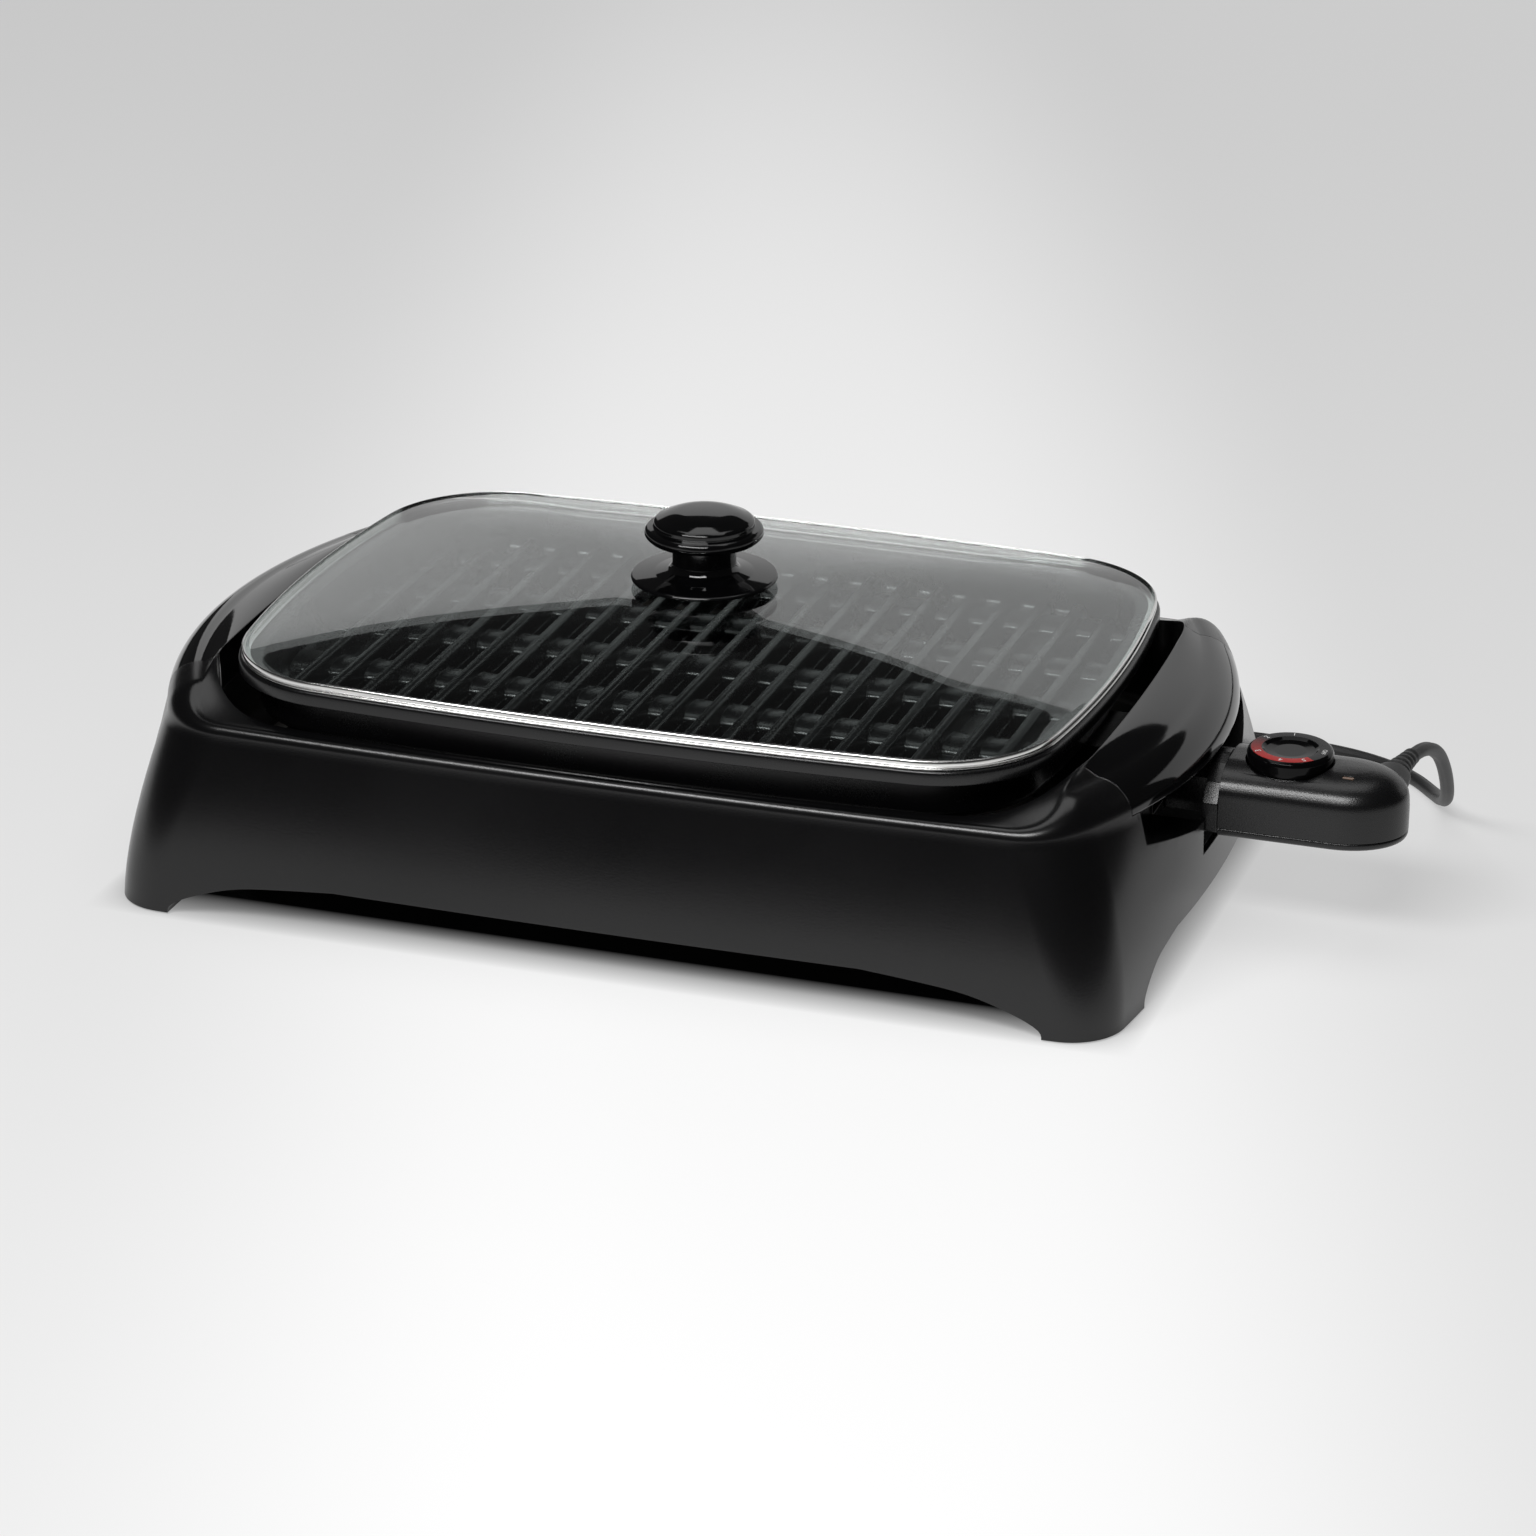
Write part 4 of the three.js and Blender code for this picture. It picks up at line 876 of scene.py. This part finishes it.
def makePlate():
    # from the underside out over the pan's wall, round the flange and down to the pan's floor
    edge = [(19, 92), (14.5, 92.2), (11.2, 94.6), (10, 98), (10, 117.2), (9.4, 118), (3.6, 118),
            (3, 117.4), (3, 114), (2.6, 113.5), (0.7, 113.5), (0.15, 113.9), (0, 114.6), (0, 119.2),
            (0.3, 120.2), (0.8, 120.8), (1.6, 121), (10.6, 121), (11.8, 120.8), (12.7, 120.1),
            (13.2, 119), (13.9, 114), (14.4, 105), (15.1, 101.4), (16.4, 99.3), (18, 98.2), (19, 98)]
    shape = add(banded(plate, edge), prism(outline(plate, 18.6), plate["underside"], plate["floor"]))
    # the ridges and the webs between them round down at the wall of the pan
    pan = skin([at(outline(plate, inset), z) for inset, z in
                ((16.8, 93), (16.8, 100), (17.2, 103), (18.2, 105.4), (19.8, 107), (22, 107.8), (25, 108.1))])
    root, floor, count = plate["floor"] - 2, plate["floor"], ridges["count"]
    low, high, top = ridges["footHalf"], ridges["topHalf"], ridges["top"]
    turns = [math.pi * k / 8 for k in range(9)]
    bars = []
    for i in range(count):
        x = (i - (count - 1) / 2) * ridges["pitch"]
        section = [(x - low, root), (x + low, root), (x + low, floor + 0.3)]
        section += [(x + high * math.cos(a), top - high + high * math.sin(a)) for a in turns]
        bars.append(prismAlongY([*section, (x - low, floor + 0.3)], -160, 160))
    bars = keep(joined(bars), copyOf(pan))
    half, rise = webs["length"] / 2, webs["crest"] - floor
    turns = [math.pi * k / 12 for k in range(13)]
    domes = []
    for row in range(webs["webRows"]):
        y = (row - (webs["webRows"] - 1) / 2) * webs["pitch"]
        section = [(y - half - 0.6, root), (y + half + 0.6, root)]
        section += [(y + half * 1.03 * math.cos(a), floor - 0.3 + (rise + 0.3) * math.sin(a) ** 0.7)
                    for a in turns]
        domes.append(prismAlongX(section, -220, 220))
    domes = keep(joined(domes), pan)
    shape = add(shape, bars, domes)
    half, reach = ridges["pitch"] / 2 - low - 0.5, webs["slotLength"] / 2
    slots = []
    for i in range(count - 1):
        x = (i + 1 - count / 2) * ridges["pitch"]
        if any(abs(x - channel) < ridges["pitch"] / 2 for channel in solidChannels):
            continue
        for row in range(webs["slotRows"]):
            y = (row - (webs["slotRows"] - 1) / 2) * webs["pitch"]
            slots.append(block(x - half, x + half, y - reach, y + reach, 86, 100, 1.5))
    shape = cut(shape, joined(slots))
    boss = block(terminal["back"], terminal["face"], -terminal["halfWidth"], terminal["halfWidth"],
                 terminal["bottom"], plate["underside"] + 1, 3)
    bores = [rodAlongX(y, terminal["z"], terminal["bore"], terminal["back"] - 1, terminal["face"] + 1)
             for y in (-terminal["spread"], 0, terminal["spread"])]
    return add(shape, cut(boss, *bores))


settle(makePlate(), "grillPlateCasting", "base", finish(nonstick), ("grill_plate",), 38)
print("plate cast")


def makeElement(values):
    z, side, bend, left, right = (values[k] for k in ("z", "side", "bend", "left", "right"))
    start, spread, low = terminal["back"], terminal["spread"], terminal["z"]
    route = []
    for half in (-1, 1):
        arm = [(terminal["face"] + 3, half * spread, low), (start, half * spread, low),
               (start - 6, half * spread, low), (right + bend, half * (spread + 3), low + 5),
               (right + 4, half * (spread + 12), z - 4), (right, half * (spread + bend + 14), z),
               (right, half * (side - bend), z), (right - bend * 0.3, half * (side - bend * 0.3), z),
               (right - bend, half * side, z), (left + bend, half * side, z),
               (left + bend * 0.3, half * (side - bend * 0.3), z), (left, half * (side - bend), z)]
        route += arm if half < 0 else arm[::-1]
    radius = values["radius"]
    return tube(smoothPath(route, 8), 20, lambda turn: (radius * math.cos(turn), radius * math.sin(turn)))


settle(makeElement(element), "elementTube", "base", finish(elementSheath),
       ("heating_element",))

# lid
lid = {"halfLength": 215.8, "halfDepth": 151.0, "endRadius": 680, "sideRadius": 2345, "corner": 63}
lidSteps = (16, 22, 20)
glass = {"edge": 1.2, "bottom": 122.5, "top": 125.0, "thickness": 4, "crown": 20, "power": 2.3, "hole": 4}


def makeGlass(values):
    plan = outline(lid, values["edge"], lidSteps)
    bottom, top = values["bottom"], values["top"]
    shares = [0.994, 0.985, 0.97, 0.95, 0.925, 0.89, 0.85, 0.8, 0.74, 0.67, 0.6, 0.52, 0.44, 0.36, 0.28,
              0.2, 0.13]

    def crownHeight(share):
        return values["crown"] * (1 - share ** values["power"])

    def level(share, z):
        return [(x * share, y * share, z) for x, y in plan]

    hole = [(x / math.hypot(x, y) * values["hole"], y / math.hypot(x, y) * values["hole"]) for x, y in plan]
    middle = top + crownHeight(0.02)
    over = [level(1.0, top - 0.5), *[level(s, top + crownHeight(s)) for s in shares], at(hole, middle)]
    under = [level(1.0, bottom + 0.5), level(0.997, bottom),
             *[level(s, max(bottom, top - values["thickness"] + crownHeight(s))) for s in shares[1:]],
             at(hole, middle - values["thickness"])]
    return skin([*over, *reversed(under)], True)


settle(makeGlass(glass), "lidPane", "lid", finish(clearGlass), ("lid_glass",), 50)

# two rolled beads with a narrow groove between them, and a lip turned over the glass
bandProfile = [
    (4.4, 121.3), (0.5, 121.3), (0.15, 121.45), (0, 121.8), (0.15, 122.15), (0.4, 122.35), (0.75, 122.45),
    (0.75, 122.95), (0.3, 123.05), (0.08, 123.3), (0, 123.8), (0.02, 124.5), (0.12, 125.1), (0.2, 125.5),
    (0.45, 125.8), (0.75, 125.9), (0.95, 125.8), (1.0, 125.4), (1.0, 122.3), (1.1, 122.2), (4.4, 122.2)]
settle(banded(lid, bandProfile, lidSteps), "lidBand", "lid", finish(rimSteel), ("lid_rim",), 25)

knob = {"flangeRadius": 37, "stemRadius": 16, "capRadius": 30, "seat": 146.7, "flangeRim": 149.5,
        "stemTop": 165, "height": 183.2}


def makeKnobBase(values):
    flange, stem, rim = values["flangeRadius"], values["stemRadius"], values["flangeRim"]
    profile = [(0, values["seat"]), (stem + 4, values["seat"]), (flange - 2.5, rim - 2.6),
               (flange, rim - 1.6), (flange - 0.5, rim + 0.1), (stem + 9, rim + 1.4), (stem + 1.5, rim + 3),
               (stem, rim + 6), (stem, values["stemTop"]), (0, values["stemTop"])]
    return turned(rounded(profile, [0, 0.6, 1.2, 0.9, 1.2, 5, 3, 3, 0.3, 0], 6), 120)


def makeKnobCap(values):
    cap, low, top = values["capRadius"], values["stemTop"] + 0.3, values["height"]
    profile = [(0, low), (cap - 11, low), (cap - 2.2, low + 3.2), (cap, low + 5.4), (cap - 0.3, low + 8.2),
               (cap - 1.6, low + 9.3), (cap - 4.6, low + 9.7), (cap - 4.7, low + 12.4),
               (cap - 6.2, low + 13.6), (cap - 14, top - 1.0), (0, top)]
    return turned(rounded(profile, [0, 1, 4, 2.4, 2.4, 1.2, 0.4, 1.6, 1.6, 26, 0], 8), 120)


settle(makeKnobBase(knob), "knobFlange", "lid", finish(polishedBlack), ("knob_base",), 45)
settle(makeKnobCap(knob), "knobGrip", "lid", finish(polishedBlack), ("knob_cap",), 45)
print("lid made")

# temperature control
probe = {"back": 273.2, "tip": 361.5, "halfWidth": 27, "roundLength": 33, "bottom": 55, "parting": 59.6,
         "shoulder": 71, "crest": 89, "wall": 2.4, "collarBack": 265.6, "noseBack": 243, "planStart": 233.2}
nose = {"halfWidth": 17, "bottom": 63, "top": 81, "pinBore": 3.7, "sensorBore": 3.3}
probeScrew = {"x": 308, "y": 17, "radius": 2.7, "depth": 1.6}
dial = {"x": 302, "radius": 21.2, "bottom": 86.6, "top": 95.4, "dishRadius": 14.0, "dishDepth": 1.6,
        "bossRadius": 20.4, "bandInner": 14.2, "bandOuter": 19.3, "redFrom": (150, 232), "redEnd": 318,
        "shaft": 3}
lens = {"x": 333.5, "y": -12, "length": 5.6, "width": 2.2}


def housingPlan(inset):
    # straight sides and a round outer end
    half, reach = probe["halfWidth"] - inset, probe["roundLength"] - inset
    start, turnX = probe["planStart"], probe["tip"] - probe["roundLength"]
    straight = [(start + (turnX - start) * k / 6, -half) for k in range(6)]
    turns = [math.pi / 2 * (1 - k / 18) for k in range(19)]
    near = [*straight, *[(turnX + reach * math.cos(a), -half * math.sin(a)) for a in turns]]
    return [*near, *[(x, -y) for x, y in near[::-1][1:]]]


def dome(inset):
    steps = smoothPath([(0, 0), (0.4, 0.3), (2.2, 0.56), (6, 0.78), (12, 0.93), (19, 1)], 4)
    rings = [at(housingPlan(inset), probe["parting"])]
    for draw, share in steps:
        rings.append(at(housingPlan(min(inset + draw, probe["halfWidth"] - 2)),
                        probe["shoulder"] + (probe["crest"] - probe["shoulder"]) * share - inset))
    return skin(rings)


def clipBack(shape, x):
    return cut(shape, block(150, x, -80, 80, 0, 160))


def lensBlock(grow, z0, z1):
    half, side = lens["length"] / 2 + grow, lens["width"] / 2 + grow
    return block(lens["x"] - half, lens["x"] + half, lens["y"] - side, lens["y"] + side, z0, z1, 1.2)


def makeUpperShell():
    back, wall, parting = probe["back"], probe["wall"], probe["parting"]
    hollow = clipBack(add(dome(wall), prism(housingPlan(wall), parting - 5, parting + 1)), back + wall)
    seat = dial["bottom"] - 0.3
    shape = add(clipBack(dome(0), back),
                rod(dial["x"], 0, dial["bossRadius"], probe["shoulder"] + 2, seat, 64))
    return cut(shape, hollow,
               rod(dial["x"], 0, dial["shaft"] + 0.6, 60, 100, 24),
               block(back - 1, back + 5, -13, 13, parting - 1, 82),
               lensBlock(0.3, 70, 100),
               rod(dial["x"], 0, dial["radius"] + 0.6, seat, 100, 72))


def makeLowerShell():
    low, high, wall = probe["bottom"], probe["parting"] - 0.35, probe["wall"]

    def rings(inset, drop):
        # a small step above the rounded edge makes the shadow line under the upper shell
        steps = [(3.4, 0), (1.9, 0.35), (0.9, 1.0), (0.35, 1.9), (0.1, 2.8)]
        return [at(housingPlan(a + inset), low + b + drop) for a, b in steps]

    outside = skin([*rings(0, 0), at(housingPlan(0.1), high - 0.5), at(housingPlan(0.5), high)])
    inside = skin([*rings(wall, wall), at(housingPlan(wall), high + 2)])
    shape = cut(clipBack(outside, probe["back"]), clipBack(inside, probe["back"] + wall))
    return cut(shape, *[rod(probeScrew["x"], y, probeScrew["radius"], low - 1, low + probeScrew["depth"], 24)
                        for y in (-probeScrew["y"], probeScrew["y"])])


def makeCollar():
    half, bottom, back = probe["halfWidth"] + 0.7, probe["bottom"], probe["noseBack"]
    shoulder, crest = probe["shoulder"], probe["crest"]
    right = [(half, bottom + 2), (half, shoulder + 1), (half - 7, shoulder + 10), (half - 17, crest - 2),
             (half - 25, crest + 0.7)]
    profile = [(-half, bottom + 2), *right, *[(-y, z) for y, z in right[:0:-1]]]
    soft = rounded(profile, [2, 2, 2, 2, 2, 6, 6, 2, 2, 2], 5, True)
    shape = add(prismAlongX(soft, probe["collarBack"], probe["back"] - 0.3),
                block(back, probe["collarBack"] + 1, -nose["halfWidth"], nose["halfWidth"],
                      nose["bottom"], nose["top"], 2))
    bores = [(-terminal["spread"], nose["pinBore"]), (terminal["spread"], nose["pinBore"]),
             (0, nose["sensorBore"])]
    return cut(shape, *[rodAlongX(y, terminal["z"], radius, back - 1, probe["back"] + 1)
                        for y, radius in bores])


for make, name, node, sharp in ((makeUpperShell, "controlUpper", "probe_upper_shell", 40),
                                (makeLowerShell, "controlLower", "probe_lower_shell", 40),
                                (makeCollar, "controlCollar", "probe_collar", 25)):
    settle(make(), name, "probe", finish(controlPlastic), (node,), sharp)
settle(lensBlock(0, 79, 88.2), "lampWindow", "probe", finish(amberLens),
       ("indicator_lens",), 40)


def makeDial(values):
    radius, bottom, top = values["radius"], values["bottom"], values["top"]
    dish, depth = values["dishRadius"], values["dishDepth"]
    profile = [(0, bottom), (radius - 0.9, bottom), (radius - 0.3, bottom + 2.5), (radius, top - 2.6),
               (radius - 0.5, top - 1.0), (radius - 1.8, top), (dish, top), (dish - 1.6, top - depth * 0.75),
               (dish - 6, top - depth), (0, top - depth)]
    shape = turned(rounded(profile, [0, 0.3, 1, 1.2, 0.9, 0.5, 0.35, 1.2, 3, 0], 6), 120, values["x"])
    return cut(shape, rod(values["x"], 0, values["shaft"] + 0.3, bottom - 1, bottom + 4.5, 24))


settle(makeDial(dial), "heatDial", "dial", finish(dialBlack), ("dial",), 45)

marks = {"OFF": -3, "1": 97, "2": 147, "3": -147, "4": -94, "5": -55}
markSize = {"digit": 4.3, "word": 3.3, "reach": 16.7, "lift": 0.03, "sheet": 0.06}


def makeMark(word, turn):
    data = bpy.data.curves.new(f"mark{word}", "FONT")
    data.body = word
    data.size = markSize["word"] if len(word) > 1 else markSize["digit"]
    data.align_x, data.align_y = "CENTER", "CENTER"
    data.extrude = markSize["sheet"] / 2
    text = bpy.data.objects.new(f"mark{word}", data)
    bpy.context.scene.collection.objects.link(text)
    graph = bpy.context.evaluated_depsgraph_get()
    mesh = bpy.data.meshes.new_from_object(text.evaluated_get(graph))
    remove(text)
    obj = bpy.data.objects.new(f"dialMark{word}", mesh)
    bpy.context.scene.collection.objects.link(obj)
    a, reach = math.radians(turn), markSize["reach"]
    place = (dial["x"] + reach * math.cos(a), reach * math.sin(a), dial["top"] + markSize["lift"])
    mesh.transform(Matrix.Translation(place) @ Matrix.Rotation(a - math.pi / 2, 4, "Z"))
    return obj


for word, turn in marks.items():
    settle(makeMark(word, turn), f"dialMark{word}", "dial", finish(printedWhite))
print("control made")


def pair(*stems):
    return [f"{stem}_{place}" for stem in stems for place in ("front", "back")]


# pieces kept from the frame, with their finishes
kept = {
    zincScrew: [*pair("handle_screw_left", "handle_screw_right", "guard_screw", "probe_screw"),
                "knob_screw", "screw_washer"],
    footRubber: pair("foot_left", "foot_right"),
    pinNickel: [*pair("terminal_pin"), "sensor_rod", "dial_shaft"],
    guardSheet: ["terminal_guard"],
    siliconeWasher: ["knob_washer"],
    contactBrass: pair("contact_sleeve", "plug_blade"),
    steatite: ["contact_block"],
    brownPhenolic: ["thermostat_switch"],
    lampGlass: ["indicator_lamp"],
}
for make, names in kept.items():
    for name in names:
        node = bpy.data.objects[name]
        for place in node.material_slots:
            place.material = finish(make)
print("kept pieces finished")

# stage and lights
stage = {"size": 14, "centre": 0.97, "edge": 0.74, "start": 0.10, "end": 0.36, "along": 0.14, "turn": 18.8,
         "glow": 0.60, "centreDull": 0.42, "edgeDull": 0.50, "front": (-1.0, -0.7), "side": (0.75, 1.1),
         "shadowX": (0.24, 0.27), "shadowY": (0.135, 0.17), "worldLight": 0.03}


def makeFloor(values):
    # a pale table top with a painted pool of light, brightest in the middle, and a little light of its own to
    # keep shadows soft
    half = values["size"] / 2
    corners = [(-half, -half, 0), (half, -half, 0), (half, half, 0), (-half, half, 0)]
    floor = meshObject("floor", corners, [(0, 1, 2, 3)])
    floor.data.transform(Matrix.Translation((0, 0, floorLevel)))
    look = Look("paleFloor")
    facing = look.node("ShaderNodeVectorRotate", {"rotation_type": "Z_AXIS"},
                       {"Vector": look.spot(), "Angle": math.radians(-values["turn"])})
    flat = look.node("ShaderNodeVectorMath", {"operation": "MULTIPLY"},
                     {0: facing, 1: (1, values["along"], 0)})
    reach = look.node("ShaderNodeVectorMath", {"operation": "LENGTH"}, {0: flat}, "Value")
    fall = look.node("ShaderNodeMapRange", {"interpolation_type": "SMOOTHSTEP"},
                     {"Value": reach, "From Min": values["start"], "From Max": values["end"]})
    # the table is pale as far as it is seen, but what the griddle mirrors of it ends in front and at the
    # sides; under the griddle its own light is cut off and its colour darkened, a painted shadow
    across, away = (look.node("ShaderNodeSeparateXYZ", None, {0: facing}, k) for k in (0, 1))
    own = look.stretched((1, 1, 1), tuple(toFrame.translation))
    ownX, ownY = (look.node("ShaderNodeSeparateXYZ", None, {0: own}, k).math("ABSOLUTE") for k in (0, 1))
    # painted shadow: the table's own light and colour are cut off over the griddle's footprint
    under = look.spread(ownX, *values["shadowX"], 1, 0) * look.spread(ownY, *values["shadowY"], 1, 0)
    lit = look.spread(away, *values["front"], 0, 1) \
        * look.spread(across.math("ABSOLUTE"), *values["side"], 1, 0)
    seen = look.node("ShaderNodeLightPath", output="Is Camera Ray")
    lit = lit.math("MAXIMUM", seen) * (1 - under)
    # painted pool of light: the table's own light and its colour fall off from the middle to the edge
    shade = look.blend(fall, (values["centre"],) * 3, (values["edge"],) * 3)
    dull = look.blend(fall, (values["centre"] * values["centreDull"],) * 3,
                      (values["edge"] * values["edgeDull"],) * 3)
    look.surface(Base_Color=look.blend(lit, (0.08, 0.08, 0.08), dull), Roughness=0.9, Specular_IOR_Level=0.0,
                 Emission_Color=look.blend(lit, (0, 0, 0), shade), Emission_Strength=values["glow"])
    floor.data.materials.append(look.material)


makeFloor(stage)

lights = {
    # name: place, aimed at, width, height, watts
    "backCard": ((0.3, 2.6, 0.75), (0.0, 0.0, 0.12), 5.2, 1.5, 16),
    "overhead": ((-0.1, 0.3, 2.1), (0.0, 0.0, 0.0), 1.8, 1.2, 10),
    "frontTop": ((-0.2, -1.5, 1.7), (0.0, -0.1, 0.05), 1.9, 0.45, 44),
}


def makeLight(name, spot, target, width, height, watts):
    data = bpy.data.lights.new(name, "AREA")
    data.shape, data.size, data.size_y, data.energy = "RECTANGLE", width, height, watts
    obj = bpy.data.objects.new(name, data)
    bpy.context.scene.collection.objects.link(obj)
    obj.location = spot
    obj.rotation_euler = (Vector(spot) - Vector(target)).to_track_quat("Z", "Y").to_euler()
    obj.visible_camera = False


for name, values in lights.items():
    makeLight(name, *values)

world = bpy.data.worlds.new("studio")
bpy.context.scene.world = world
world.use_nodes = True
world.node_tree.nodes["Background"].inputs["Color"].default_value = (1, 1, 1, 1)
world.node_tree.nodes["Background"].inputs["Strength"].default_value = stage["worldLight"]
bpy.context.scene.view_settings.view_transform = "Standard"
print("stage lit")
